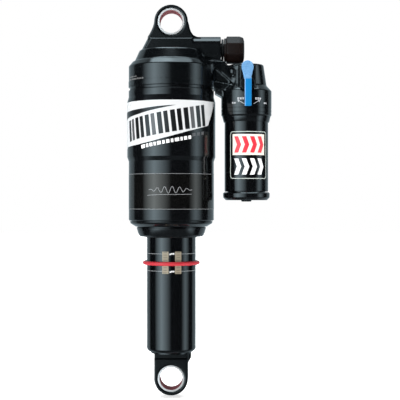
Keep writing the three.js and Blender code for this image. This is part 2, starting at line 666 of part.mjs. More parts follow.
function knobScrew() {
  const shank = at(alongY(rodOf(KNOB_SCREW.head, KNOB_SCREW.bottom, KNOB_SCREW.top, 0.15, FEW)), 0, 0, CAM_Z);
  const socket = at(alongY(rodOf(1, KNOB_SCREW.top - 0.8, KNOB_SCREW.top + 1, 0, 6)), 0, 0, CAM_Z);
  return cut(solidOf(shank), socket);
}

piece("rebound_cam", cam(), STEEL);
piece("rebound_knob", knob(), RED_ANODISE);
piece("rebound_knob_screw", knobScrew(), STEEL);

// ---- Air valve ----------------------------------------------------------------------------
// Made about +Z and laid along +X, so heights below are distances from the shock's axis.
const VALVE_CORE_R = 1.9;
piece(
  "air_valve_body",
  alongX(turned([
    [VALVE_CORE_R + FIT, VALVE_SEAT_X + FIT],
    [VALVE_STEM_R, VALVE_SEAT_X + FIT],
    [VALVE_STEM_R, VALVE_BOSS_END_X + GAP],
    [6.2, VALVE_BOSS_END_X + GAP],
    [6.2, VALVE_CAP_START_X - GAP],
    [VALVE_STEM_R, VALVE_CAP_START_X - GAP],
    [VALVE_STEM_R, VALVE_STEM_END_X],
    [VALVE_CORE_R + FIT, VALVE_STEM_END_X],
  ], FEW)),
  BRASS,
  valve,
);
piece(
  "air_valve_core",
  alongX(tubeOf(0.8, VALVE_CORE_R, VALVE_STEM_END_X - 9, VALVE_STEM_END_X - 1, SMALL)),
  BRASS,
  valve,
);
piece(
  "air_valve_pin",
  alongX(rodOf(0.55, VALVE_STEM_END_X - 8, VALVE_STEM_END_X - 0.2, 0, SMALL)),
  BRASS,
  valve,
);
piece(
  "air_valve_cap",
  alongX(turned([
    [VALVE_STEM_R + FIT + 0.1, VALVE_CAP_START_X],
    [VALVE_CAP_R - 0.9, VALVE_CAP_START_X],
    [VALVE_CAP_R - 0.9, VALVE_CAP_START_X + 1.5],
    [VALVE_CAP_R, VALVE_CAP_START_X + 1.7],
    [VALVE_CAP_R, VALVE_CAP_END_X - 2.4],
    [VALVE_CAP_R - 0.7, VALVE_CAP_END_X - 0.7],
    [VALVE_CAP_R - 2.4, VALVE_CAP_END_X],
    [0, VALVE_CAP_END_X],
    [0, VALVE_STEM_END_X + 0.8],
    [VALVE_STEM_R + FIT + 0.1, VALVE_STEM_END_X + 0.8],
  ], FEW)),
  BLACK_PLASTIC,
  valve,
);

// ---- Compression lever and base valve -----------------------------------------------------
function lever() {
  const shape = new THREE.Shape();
  const tipZ = LEVER_REACH - LEVER_TIP_R;
  const stem = LEVER_STEM_R;
  const lean = Math.asin((LEVER_TIP_R - stem) / (tipZ - 2.4));
  shape.absarc(0, tipZ, LEVER_TIP_R, -lean, Math.PI + lean, false);
  shape.lineTo(-stem, 2.4);
  shape.lineTo(-stem, -LEVER_REACH + stem);
  shape.absarc(0, -LEVER_REACH + stem, stem, Math.PI, 2 * Math.PI, false);
  shape.lineTo(stem, 2.4);
  return plateOf(shape, LEVER_BACK_Y - LEVER_THICKNESS, LEVER_BACK_Y, 8).translate(RESERVOIR_X, 0, LEVER_Z);
}

piece("compression_lever", lever(), BLUE_ANODISE);

// The spindle's hub sits behind the lever and the eccentric end lifts the base valve's plunger.
function spindle() {
  const hub = alongY(rodOf(HUB_R, LEVER_BACK_Y + FIT, HUB_BACK_Y, 0, FEW));
  const shaft = alongY(rodOf(SPINDLE_R, HUB_BACK_Y - 0.5, 4, 0, FEW));
  const nick = alongY(rodOf(0.5, HUB_BACK_Y - 0.3, HUB_BACK_Y + 0.2, 0, 8)).translate(0, 0, DETENT.radius);
  const ring = alongY(tubeOf(SPINDLE_R - 0.8, SPINDLE_R + 1, -8.7, -7.3, FEW));
  return cut(join(hub, shaft), nick, ring).translate(RESERVOIR_X, 0, LEVER_Z);
}

piece("lever_spindle", spindle(), BLACK_ANODISE);
piece(
  "spindle_o_ring",
  at(alongY(ringOf(SPINDLE_R - 0.35, -8, 0.4, 6, FEW)), RESERVOIR_X, 0, LEVER_Z),
  RUBBER,
);
const ballY = HUB_BACK_Y + FIT + DETENT.ball;
piece(
  "detent_ball",
  at(new THREE.SphereGeometry(DETENT.ball, 12, 8), RESERVOIR_X, ballY, DETENT_Z),
  STEEL,
);

// A spring wire wound along +Z, with turns a pitch apart.
function coilOf(radius, wire, pitch, turns) {
  class Helix extends THREE.Curve {
    getPoint(t, target = new THREE.Vector3()) {
      const a = t * turns * 2 * Math.PI;
      return target.set(radius * Math.cos(a), radius * Math.sin(a), t * turns * pitch);
    }
  }
  const section = new THREE.Shape();
  section.absarc(0, 0, wire, 0, 2 * Math.PI, false);
  const settings = { steps: turns * 12, extrudePath: new Helix(), curveSegments: 3 };
  return new THREE.ExtrudeGeometry(section, settings);
}

piece(
  "detent_spring",
  at(alongY(coilOf(0.5, 0.15, 0.8, 3)), RESERVOIR_X, ballY + DETENT.ball + 0.4, DETENT_Z),
  STEEL,
);

// ---- Reservoir ----------------------------------------------------------------------------
const VALVE_PISTON_TOP_Z = RESERVOIR_TOP_Z - 1.5;
piece(
  "base_valve_piston",
  cut(
    solidOf(tubeOf(1.6, RESERVOIR_BORE_R - FIT, VALVE_PISTON_TOP_Z - 5, VALVE_PISTON_TOP_Z)),
    ...ports(6.4, 1.3, 6, VALVE_PISTON_TOP_Z - 5, VALVE_PISTON_TOP_Z),
  ),
  ALLOY,
  reservoir,
);
piece("base_valve_shims", shimStack(VALVE_PISTON_TOP_Z - 5.15, -1, 1.6, 8.4), STEEL, reservoir);
piece(
  "base_valve_bolt",
  turned([
    [0, VALVE_PISTON_TOP_Z - 8.4],
    [2.8, VALVE_PISTON_TOP_Z - 8.4],
    [2.8, VALVE_PISTON_TOP_Z - 6.5],
    [1.5, VALVE_PISTON_TOP_Z - 6.5],
    [1.5, LEVER_Z - SPINDLE_R - GAP],
    [0, LEVER_Z - SPINDLE_R - GAP],
  ], SMALL),
  STEEL,
  reservoir,
);

const RESERVOIR_GROOVE_Z = RESERVOIR_TOP_Z - 4;
piece(
  "reservoir_tube",
  cut(
    solidOf(tubeOf(RESERVOIR_BORE_R, RESERVOIR_R, RESERVOIR_FOOT_Z, RESERVOIR_TOP_Z)),
    groove(RESERVOIR_GROOVE_Z, RESERVOIR_R - 0.9, 1.4),
  ),
  BLACK_ANODISE,
  reservoir,
);
piece("reservoir_o_ring", ringOf(RESERVOIR_R - 0.42, RESERVOIR_GROOVE_Z, 0.42), RUBBER, reservoir);

const RESERVOIR_CAP_FOOT_Z = RESERVOIR_FOOT_Z - RESERVOIR_CAP_HEIGHT;
const CAP_GROOVE_Z = RESERVOIR_FOOT_Z + CAP_PLUG_DEPTH / 2;
const FILL_R = 2.9;
piece(
  "reservoir_cap",
  cut(
    solidOf(turned([
      [1, RESERVOIR_CAP_FOOT_Z],
      [RESERVOIR_CAP_R - 2, RESERVOIR_CAP_FOOT_Z],
      [RESERVOIR_CAP_R - 0.3, RESERVOIR_CAP_FOOT_Z + 1],
      [RESERVOIR_CAP_R, RESERVOIR_CAP_FOOT_Z + 1.8],
      [RESERVOIR_CAP_R, RESERVOIR_FOOT_Z - GAP - 0.4],
      [RESERVOIR_CAP_R - 0.6, RESERVOIR_FOOT_Z - GAP],
      [RESERVOIR_BORE_R - FIT, RESERVOIR_FOOT_Z - GAP],
      [RESERVOIR_BORE_R - FIT, RESERVOIR_FOOT_Z + CAP_PLUG_DEPTH],
      [1, RESERVOIR_FOOT_Z + CAP_PLUG_DEPTH],
    ])),
    groove(CAP_GROOVE_Z, RESERVOIR_BORE_R - 1.1, 1.4),
    rodOf(FILL_R + FIT, RESERVOIR_CAP_FOOT_Z - 1, RESERVOIR_CAP_FOOT_Z + 3, 0, FEW),
  ),
  BLACK_ANODISE,
  reservoir,
);
piece("reservoir_cap_o_ring", ringOf(RESERVOIR_BORE_R - 0.6, CAP_GROOVE_Z, 0.42), RUBBER, reservoir);
piece(
  "fill_screw",
  cut(
    solidOf(rodOf(FILL_R, RESERVOIR_CAP_FOOT_Z - 0.8, RESERVOIR_CAP_FOOT_Z + 2.7, 0.3, FEW)),
    rodOf(1.3, RESERVOIR_CAP_FOOT_Z - 2, RESERVOIR_CAP_FOOT_Z + 0.8, 0, 6),
  ),
  STEEL,
  reservoir,
);

const FLOATER_GROOVE_Z = FLOATER_TOP_Z - FLOATER_HEIGHT / 2;
piece(
  "floating_piston",
  cut(
    solidOf(turned([
      [0, FLOATER_TOP_Z - FLOATER_HEIGHT + 3],
      [RESERVOIR_BORE_R - 3, FLOATER_TOP_Z - FLOATER_HEIGHT + 3],
      [RESERVOIR_BORE_R - 3, FLOATER_TOP_Z - FLOATER_HEIGHT],
      [RESERVOIR_BORE_R - RUNNING, FLOATER_TOP_Z - FLOATER_HEIGHT],
      [RESERVOIR_BORE_R - RUNNING, FLOATER_TOP_Z],
      [0, FLOATER_TOP_Z],
    ])),
    groove(FLOATER_GROOVE_Z, RESERVOIR_BORE_R - 1.2, 1.4),
  ),
  ALLOY,
  reservoir,
);
piece("floating_piston_o_ring", ringOf(RESERVOIR_BORE_R - 0.6, FLOATER_GROOVE_Z, 0.45), RUBBER, reservoir);

// ---- Damper tube and what rides on it -----------------------------------------------------
piece(
  "damper_tube",
  turned([
    [TUBE_BORE_R, TUBE_FOOT_Z],
    [TUBE_R - TUBE_CORNER, TUBE_FOOT_Z],
    [TUBE_R - TUBE_CORNER * 0.3, TUBE_FOOT_Z + TUBE_CORNER * 0.3],
    [TUBE_R, TUBE_FOOT_Z + TUBE_CORNER],
    [TUBE_R, TUBE_TOP_Z],
    [TUBE_BORE_R, TUBE_TOP_Z],
  ]),
  BLACK_ANODISE,
);

// The air piston closes the top of the tube: air seal outside, shaft seal inside.
const AIR_PISTON = {
  sealHeight: 2.8,
  sealDepth: 2,
  ringHeight: 2.6,
  ringDepth: 1,
  bushHeight: 4,
  bushWall: 1,
};
const pistonWall = CAN_BORE_R - RUNNING;
const airSealZ = AIR_PISTON_FOOT_Z + 4;
const glideZ = AIR_PISTON_FOOT_Z + 9.4;
const shaftBore = SHAFT_R + 0.3;
const shaftBushTop = AIR_PISTON_TOP_Z - 1;
piece(
  "air_piston",
  cut(
    solidOf(turned([
      [shaftBore, TUBE_TOP_Z + GAP],
      [TUBE_R + FIT, TUBE_TOP_Z + GAP],
      [TUBE_R + FIT, AIR_PISTON_FOOT_Z],
      [pistonWall, AIR_PISTON_FOOT_Z],
      [pistonWall, AIR_PISTON_TOP_Z - 0.8],
      [pistonWall - 0.8, AIR_PISTON_TOP_Z],
      [shaftBore, AIR_PISTON_TOP_Z],
      [shaftBore, shaftBushTop],
      [shaftBore + AIR_PISTON.bushWall, shaftBushTop],
      [shaftBore + AIR_PISTON.bushWall, shaftBushTop - AIR_PISTON.bushHeight],
      [shaftBore, shaftBushTop - AIR_PISTON.bushHeight],
    ])),
    groove(airSealZ, CAN_BORE_R - AIR_PISTON.sealDepth - 0.2, AIR_PISTON.sealHeight),
    groove(glideZ, CAN_BORE_R - AIR_PISTON.ringDepth - 0.2, AIR_PISTON.ringHeight),
  ),
  ALLOY,
);
piece(
  "air_piston_seal",
  tubeOf(
    CAN_BORE_R - AIR_PISTON.sealDepth - 0.1, CAN_BORE_R - FIT,
    airSealZ - AIR_PISTON.sealHeight / 2 + FIT, airSealZ + AIR_PISTON.sealHeight / 2 - FIT,
  ),
  RUBBER,
);
piece(
  "air_piston_glide_ring",
  tubeOf(
    CAN_BORE_R - AIR_PISTON.ringDepth - 0.1, CAN_BORE_R - FIT,
    glideZ - AIR_PISTON.ringHeight / 2 + FIT, glideZ + AIR_PISTON.ringHeight / 2 - FIT,
  ),
  PTFE,
);
piece(
  "shaft_bush",
  tubeOf(
    SHAFT_R + RUNNING / 2, shaftBore + AIR_PISTON.bushWall - FIT,
    shaftBushTop - AIR_PISTON.bushHeight + FIT, shaftBushTop - FIT, FEW,
  ),
  PTFE,
);

// ---- Lower eyelet -------------------------------------------------------------------------
// Heights below are from the lower eye's centre.
const LOWER_EYE_R = 9.5;
const NECK = { shoulder: 10.6, flat: 5.6, slope: 0.7 }; // the neck is thinner than the eye
const BOSS = { reach: 11.3, foot: 8.3, slope: 3.2, flat: 3 }; // on the +X side, for the bleed screw
const BLEED = { r: 1.5, z: 12.2, inner: 6.5, bore: 1 };
const plugTop = PLUG_TOP_Z - LOWER_EYE_Z;

function lowerEyelet() {
  const top = TUBE_FOOT_HEIGHT - GAP;
  const half = EYE_WIDTH / 2;
  const shape = new THREE.Shape();
  shape.moveTo(-LOWER_EYE_R, top);
  shape.lineTo(-LOWER_EYE_R, 0);
  shape.absarc(0, 0, LOWER_EYE_R, Math.PI, 2 * Math.PI, false);
  shape.lineTo(LOWER_EYE_R, top);
  const eye = solidOf(plateOf(shape, -half, half, 9));
  const side = outlineOf([
    [-half, -LOWER_EYE_R - 1],
    [half, -LOWER_EYE_R - 1],
    [half, NECK.shoulder],
    [NECK.flat, NECK.shoulder + NECK.slope],
    [NECK.flat, top + 1],
    [-NECK.flat, top + 1],
    [-NECK.flat, NECK.shoulder + NECK.slope],
    [-half, NECK.shoulder],
  ]);
  const slab = solidOf(plateOf(side, -LOWER_EYE_R - 1, LOWER_EYE_R + 1).rotateZ(Math.PI / 2));
  const bossOutline = outlineOf([
    [LOWER_EYE_R - 2, BOSS.foot],
    [LOWER_EYE_R, BOSS.foot],
    [BOSS.reach, BOSS.foot + BOSS.slope],
    [BOSS.reach, top],
    [LOWER_EYE_R - 2, top],
  ]);
  const boss = solidOf(plateOf(bossOutline, -BOSS.flat, BOSS.flat));
  const plug = solidOf(rodOf(TUBE_BORE_R - FIT, top - 1, plugTop, GAP));
  const screwSeat = at(alongX(rodOf(BLEED.r + FIT, BLEED.inner, BOSS.reach + 1, 0, FEW)), 0, 0, BLEED.z);
  const oilHole = at(rodOf(BLEED.bore, BLEED.z, plugTop + 1, 0, SMALL), BLEED.inner - 1, 0, 0);
  const oilCross = alongX(rodOf(BLEED.bore, BLEED.inner - 1.5, BLEED.inner + 1, 0, SMALL));
  const solid = eye.intersect(slab).add(boss).add(plug);
  return cut(solid, eyeBore(), screwSeat, oilHole, at(oilCross, 0, 0, BLEED.z));
}

piece("lower_eyelet", lowerEyelet(), BLACK_FORGING, lower);

function bleedScrew() {
  const outer = BOSS.reach - 0.4;
  const shank = at(alongX(rodOf(BLEED.r, BLEED.inner + 1.2, outer, 0.2, FEW)), 0, 0, BLEED.z);
  return cut(solidOf(shank), at(alongX(rodOf(0.9, outer - 1.2, outer + 1, 0, 6)), 0, 0, BLEED.z));
}

piece("bleed_screw", bleedScrew(), STEEL, lower);
piece("lower_bush", bush(), LINER, lower);

// ---- Sag ring -----------------------------------------------------------------------------
piece(
  "sag_ring",
  ringOf(TUBE_R + FIT + SAG_RING_CORD_R, SAG_RING_Z, SAG_RING_CORD_R, 10),
  RED_RUBBER,
);

export default shock;
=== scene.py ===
"""A bicycle rear air shock with a side reservoir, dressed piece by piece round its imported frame."""

import math

import bmesh
import bpy
import numpy as np
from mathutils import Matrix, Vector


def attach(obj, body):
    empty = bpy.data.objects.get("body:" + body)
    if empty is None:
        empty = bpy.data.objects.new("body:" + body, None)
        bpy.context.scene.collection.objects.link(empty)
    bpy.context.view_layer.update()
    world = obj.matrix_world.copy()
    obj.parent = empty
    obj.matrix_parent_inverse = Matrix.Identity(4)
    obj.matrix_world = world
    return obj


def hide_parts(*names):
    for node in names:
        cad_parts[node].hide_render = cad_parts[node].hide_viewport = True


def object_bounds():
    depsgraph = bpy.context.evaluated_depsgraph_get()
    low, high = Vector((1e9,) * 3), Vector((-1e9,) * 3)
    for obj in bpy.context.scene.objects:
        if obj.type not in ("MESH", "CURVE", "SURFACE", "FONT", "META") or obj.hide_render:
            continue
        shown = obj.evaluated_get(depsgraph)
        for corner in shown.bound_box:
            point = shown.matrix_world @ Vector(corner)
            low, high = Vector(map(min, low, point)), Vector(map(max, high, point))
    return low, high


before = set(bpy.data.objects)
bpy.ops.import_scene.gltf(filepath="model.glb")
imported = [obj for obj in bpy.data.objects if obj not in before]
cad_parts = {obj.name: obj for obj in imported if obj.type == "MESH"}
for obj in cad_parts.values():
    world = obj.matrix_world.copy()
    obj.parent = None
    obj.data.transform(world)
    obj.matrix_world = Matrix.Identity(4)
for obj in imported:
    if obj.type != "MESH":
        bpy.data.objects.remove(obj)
cad_box = [list(corner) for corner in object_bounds()]

# ---- Camera, floor and light -----------------------------------------------------------------
# The shock hangs upright in front of a level long lens, at the height of its middle. The floor is
# pale and the light is a white room with a wide soft box on the left, a strip on the right and a
# dark wall behind the camera, which is what draws the bands on the polished tubes.
MM = 0.001
MIDDLE = (cad_box[0][2] + cad_box[1][2]) / 2
CAMERA_AT = (16.2 * MM, -622 * MM, MIDDLE)
FOCAL_LENGTH = 99
FLOOR_GAP = 1.5 * MM


def srgb(code):
    """A colour written as sRGB hex, as the linear colour that a shader takes."""
    channels = [int(code[i : i + 2], 16) / 255 for i in (1, 3, 5)]
    return [c / 12.92 if c <= 0.04045 else ((c + 0.055) / 1.055) ** 2.4 for c in channels] + [1]


def add(tree, kind, sockets=None, **settings):
    """Adds a node: settings are its own properties, and a socket takes a value or another node's output."""
    made = tree.nodes.new(kind)
    for name, value in settings.items():
        setattr(made, name, value)
    for name, value in (sockets or {}).items():
        if isinstance(value, bpy.types.NodeSocket):
            tree.links.new(value, made.inputs[name])
        else:
            made.inputs[name].default_value = value
    return made


scene = bpy.context.scene
lens = bpy.data.cameras.new("camera")
lens.lens = FOCAL_LENGTH
camera = bpy.data.objects.new("camera", lens)
camera.location = CAMERA_AT
camera.rotation_euler = (math.pi / 2, 0, 0)
scene.collection.objects.link(camera)
scene.camera = camera
scene.view_settings.view_transform = "Standard"

# Each soft box is (left edge, brightest, right edge, low edge, high edge, strength): its angles in
# degrees round the shock from straight in front, and above the horizon.
SOFT_BOXES = [
    (-82, -46, 0.5, -27, 27, 5.0),
    (50, 70, 94, -27, 27, 2.6),
    (-230, -55, 230, 60, 96, 8.0),
]
ROOM = 0.6
DARK_WALL = 0.02
DARK_WALL_REACH = 118
GROUND_EDGE = 25
GROUND = 0.25
SOFT_EDGE = 4


def make_room():
    """The room's light by direction: white behind the shock, dark in front, and the soft boxes."""
    world = bpy.data.worlds.new("room")
    scene.world = world
    world.use_nodes = True
    tree = world.node_tree
    tree.nodes.clear()

    def work(operation, a, b=0.0, c=0.0):
        made = add(tree, "ShaderNodeMath", operation=operation)
        for socket, value in zip(made.inputs, (a, b, c)):
            if isinstance(value, bpy.types.NodeSocket):
                tree.links.new(value, socket)
            else:
                socket.default_value = value
        return made.outputs[0]

    def rise(value, edge):
        """0 below the edge and 1 above it, over the soft edge's width."""
        ramp = work("MULTIPLY_ADD", value, 1 / SOFT_EDGE, 0.5 - edge / SOFT_EDGE)
        return work("MINIMUM", work("MAXIMUM", ramp, 0.0), 1.0)

    direction = add(tree, "ShaderNodeTexCoord").outputs["Generated"]
    parts = add(tree, "ShaderNodeSeparateXYZ", {"Vector": direction}).outputs
    toward = work("MULTIPLY", parts["Y"], -1.0)
    turn = work("MULTIPLY", work("ARCTAN2", parts["X"], toward), 180 / math.pi)
    lift = work("MULTIPLY", work("ARCSINE", parts["Z"]), 180 / math.pi)
    round_back = work("ABSOLUTE", turn)
    strength = work("MULTIPLY_ADD", rise(round_back, DARK_WALL_REACH), ROOM - DARK_WALL, DARK_WALL)
    below = rise(work("MULTIPLY", lift, -1.0), GROUND_EDGE)
    strength = work("MAXIMUM", strength, work("MULTIPLY", below, ROOM * GROUND))
    for left, middle, right, low, high, power in SOFT_BOXES:
        rising = work("MULTIPLY_ADD", turn, 1 / (middle - left), -left / (middle - left))
        falling = work("MULTIPLY_ADD", turn, -1 / (right - middle), right / (right - middle))
        across = work("MAXIMUM", work("MINIMUM", rising, falling), 0.0)
        up = work("MULTIPLY", rise(lift, low), rise(work("MULTIPLY", lift, -1.0), -high))
        strength = work("MULTIPLY_ADD", work("MULTIPLY", across, up), power, strength)
    seen = add(tree, "ShaderNodeLightPath").outputs["Is Camera Ray"]
    mirrored = add(tree, "ShaderNodeLightPath").outputs["Is Glossy Ray"]
    cool = {"Fac": mirrored, "Color1": srgb("#FFFFFF"), "Color2": srgb("#D9F1FB")}
    tint = add(tree, "ShaderNodeMixRGB", cool).outputs["Color"]
    lit = add(tree, "ShaderNodeBackground", {"Color": tint, "Strength": strength})
    paper = add(tree, "ShaderNodeBackground", {"Color": srgb("#FFFFFF"), "Strength": 1.0})
    mixed = add(tree, "ShaderNodeMixShader", {0: seen, 1: lit.outputs[0], 2: paper.outputs[0]})
    add(tree, "ShaderNodeOutputWorld", {"Surface": mixed.outputs[0]})


make_room()


def material(name, base, metallic, roughness, **sockets):
    """A shader with its plain values set, its tree and its Principled node, ready for detail."""
    made = bpy.data.materials.new(name)
    made.use_nodes = True
    shader = made.node_tree.nodes["Principled BSDF"]
    shader.inputs["Base Color"].default_value = srgb(base)
    shader.inputs["Metallic"].default_value = metallic
    shader.inputs["Roughness"].default_value = roughness
    for socket, value in sockets.items():
        shader.inputs[socket.replace("_", " ")].default_value = value
    return made


# The floor is painted white board, wide enough to run out of every view.
floor_mesh = bpy.data.meshes.new("floor")
FLOOR_REACH = 3.0
floor_z = cad_box[0][2] - FLOOR_GAP
corners = [(a * FLOOR_REACH, b * FLOOR_REACH) for a, b in ((-1, -1), (1, -1), (1, 1), (-1, 1))]
floor_mesh.from_pydata([(x, y, floor_z) for x, y in corners], [], [(0, 1, 2, 3)])
floor = bpy.data.objects.new("floor", floor_mesh)
glow = {"Emission_Color": srgb("#FFFFFF"), "Emission_Strength": 0.6}
floor_mesh.materials.append(material("white_board", "#FFFFFF", 0, 0.9, **glow))
scene.collection.objects.link(floor)
floor.visible_glossy = False

# ---- Head forging ----------------------------------------------------------------------------
# One aluminium forging holds the upper eye, the top of the air can, the valve boss and, on an arm,
# the head of the reservoir. It is machined where pieces fit and anodised satin black. It is made
# from distances to simple solids, joined with the fillets of a forging and skinned.
HEAD = {
    "cell": 0.5,
    "edge": 0.45,
    "eye_r": 9.45,
    "bush_r": 7.5,
    "eye_half": 6.35,
    "block_half": 7.8,
    "arm_half": 8.0,
    "pocket_half": 6.2,
}
RESERVOIR_X = 42.4
LEVER_Z = -35.6
VALVE_Z = -15.4


def polygon(u, v, outline):
    """Signed distance from points to a closed outline, negative inside."""
    nearest = np.inf
    side = 1.0
    for i, (bu, bv) in enumerate(outline):
        au, av = outline[i - 1]
        eu, ev = au - bu, av - bv
        wu, wv = u - bu, v - bv
        share = np.clip((wu * eu + wv * ev) / (eu * eu + ev * ev), 0, 1)
        nearest = np.minimum(nearest, (wu - eu * share) ** 2 + (wv - ev * share) ** 2)
        above, below, left = v >= bv, v < av, eu * wv > ev * wu
        crossed = (above & below & left) | (~above & ~below & ~left)
        side = np.where(crossed, -side, side)
    return side * np.sqrt(nearest)


def both(a, b, edge=0.0):
    """What two solids share, with its outer edges rounded."""
    a, b = a + edge, b + edge
    outside = np.sqrt(np.maximum(a, 0) ** 2 + np.maximum(b, 0) ** 2)
    return np.minimum(np.maximum(a, b), 0) + outside - edge


def joined(a, b, fillet=0.0):
    """Two solids as one, with a round fillet where they meet."""
    if not fillet:
        return np.minimum(a, b)
    inside = np.sqrt(np.maximum(fillet - a, 0) ** 2 + np.maximum(fillet - b, 0) ** 2)
    return np.maximum(fillet, np.minimum(a, b)) - inside


def without(a, b, edge=0.0):
    """One solid cut by another, with the cut's rim rounded."""
    return -joined(-a, b, edge)


def plate(u, v, w, outline, half, edge):
    """An outline in u and v, thick along w either side of zero."""
    return both(polygon(u, v, outline), np.abs(w) - half, edge)


def cylinder(u, v, w, radius, low, high, edge=0.0):
    """A round bar along w, between two heights."""
    return both(np.sqrt(u * u + v * v) - radius, np.abs(w - (low + high) / 2) - (high - low) / 2, edge)


def lathed(x, y, z, outline, edge=0.0):
    """An outline of radius and height turned about Z, with convex corners rounded."""
    return polygon(np.sqrt(x * x + y * y), z, outline) - edge


def head_forging(x, y, z):
    """The forging, and what is cut out of it, as one signed distance in mm."""
    edge = HEAD["edge"]
    eye = cylinder(x, z, y, HEAD["eye_r"], -HEAD["eye_half"], HEAD["eye_half"], edge)
    drops = np.linspace(0, 1, 7)
    flank = [(9.5 + 3.1 * t**1.7 + 0.5 * t, -8.6 * t) for t in drops]
    toe = [(10.1, -1.8), (10.5, -3.8), (11.2, -5.8), (12.5, -7.6), (14.4, -8.5), (17.0, -8.9), (17.0, -12)]
    web = [(-u, v) for u, v in flank] + [(-13.1, -12)] + toe[::-1] + [(9.5, 0)]
    eye = joined(eye, plate(x, z, y, web, HEAD["eye_half"], edge))

    cone = lathed(x, y, z, [(-9, -16.4), (17.3, -16.4), (13.5, -9.0), (-9, -9.0)])
    flats = [(-7.8, -18), (7.8, -18), (7.8, -9.8), (7.2, -9.2), (-7.2, -9.2), (-7.8, -9.8)]
    block = both(cone, polygon(y, z, flats), 0.25)

    skirt = [
        (-9, -36.7), (24.15, -36.7), (24.15, -33.6), (24.0, -33.2), (24.0, -24.9), (21.9, -22.3),
        (20.7, -21.9), (18.1, -16.2), (17.6, -15.8), (-9, -15.8),
    ]
    collar = lathed(x, y, z, skirt)
    body = joined(joined(block, eye, 0.5), collar, 0.5)

    corner = 5.2
    deep, low, high = HEAD["block_half"] - corner, -22.7 + corner, -8.2 - corner
    square = [(-deep, low), (deep, low), (deep, high), (-deep, high)]
    boss = both(polygon(y, z, square) - corner, np.abs(x - 16.5) - 11.4, 0.5)
    body = joined(body, boss)

    # The arm is thicker towards the can, and pocketed on both faces to leave two slanting ribs.
    arm_outline = [
        (12, -36.7), (21.5, -36.7), (24.9, -40.2), (28.9, -42.4), (42.4, -46), (42.4, -24.6),
        (31.6, -24.6), (30.0, -22.4), (12, -21.9),
    ]
    half = HEAD["arm_half"] + 0.22 * np.maximum(0, 28 - x)
    arm = both(polygon(x, z, arm_outline), np.abs(y) - half, 0.6)
    for pocket in (
        [(31.2, -26.6), (37.6, -34.6), (38.8, -34.6), (38.8, -26.6)],
        [(24.7, -26.2), (35.6, -35.6), (21.6, -33.2)],
        [(20, -36.8), (40, -41.2), (40, -50), (20, -50)],
    ):
        hollow = both(polygon(x, z, pocket), HEAD["pocket_half"] - np.abs(y))
        arm = without(arm, hollow, 0.6)
    neck = [
        (-9, -47.6), (14.2, -47.6), (14.2, -38.7), (13.6, -38.0), (11.4, -35.6),
        (9.7, -24.2), (9.2, -23.8), (-9, -23.8),
    ]
    rx = x - RESERVOIR_X
    barrel = lathed(rx, y, z, neck)
    body = joined(joined(body, arm, 2.0), barrel, 1.0)
    pad_outline = [
        (38.1, -37.5), (38.1, -25.4), (46.7, -25.4), (46.7, -37.5), (44.6, -40.3), (40.2, -40.3),
    ]
    pad = polygon(x, z, pad_outline)
    body = joined(body, both(pad, np.abs(y + 8.4) - 4.4, 0.5), 0.8)

    body = without(body, np.sqrt(x * x + z * z) - HEAD["bush_r"], 0.5)
    body = without(body, cylinder(x, y, z, 22.0, -60, -28))
    body = without(body, cylinder(rx, y, z, 12.0, -60, -44))
    body = without(body, cylinder(rx, y, z, 9.8, -60, -38))
    body = without(body, cylinder(rx, z - LEVER_Z, y, 4.6, -30, -12.8), 0.2)
    body = without(body, cylinder(x, z + 15, y, 7.2, HEAD["block_half"], 30), 0.2)
    body = without(body, cylinder(y, z - VALVE_Z, x, 4.1, 20, 40), 0.3)
    return without(body, both(np.abs(np.sqrt(x * x + y * y) - 23.4) - 1.9, np.abs(z + 44.0) - 7.3))


SETTLE_ROUNDS = 4


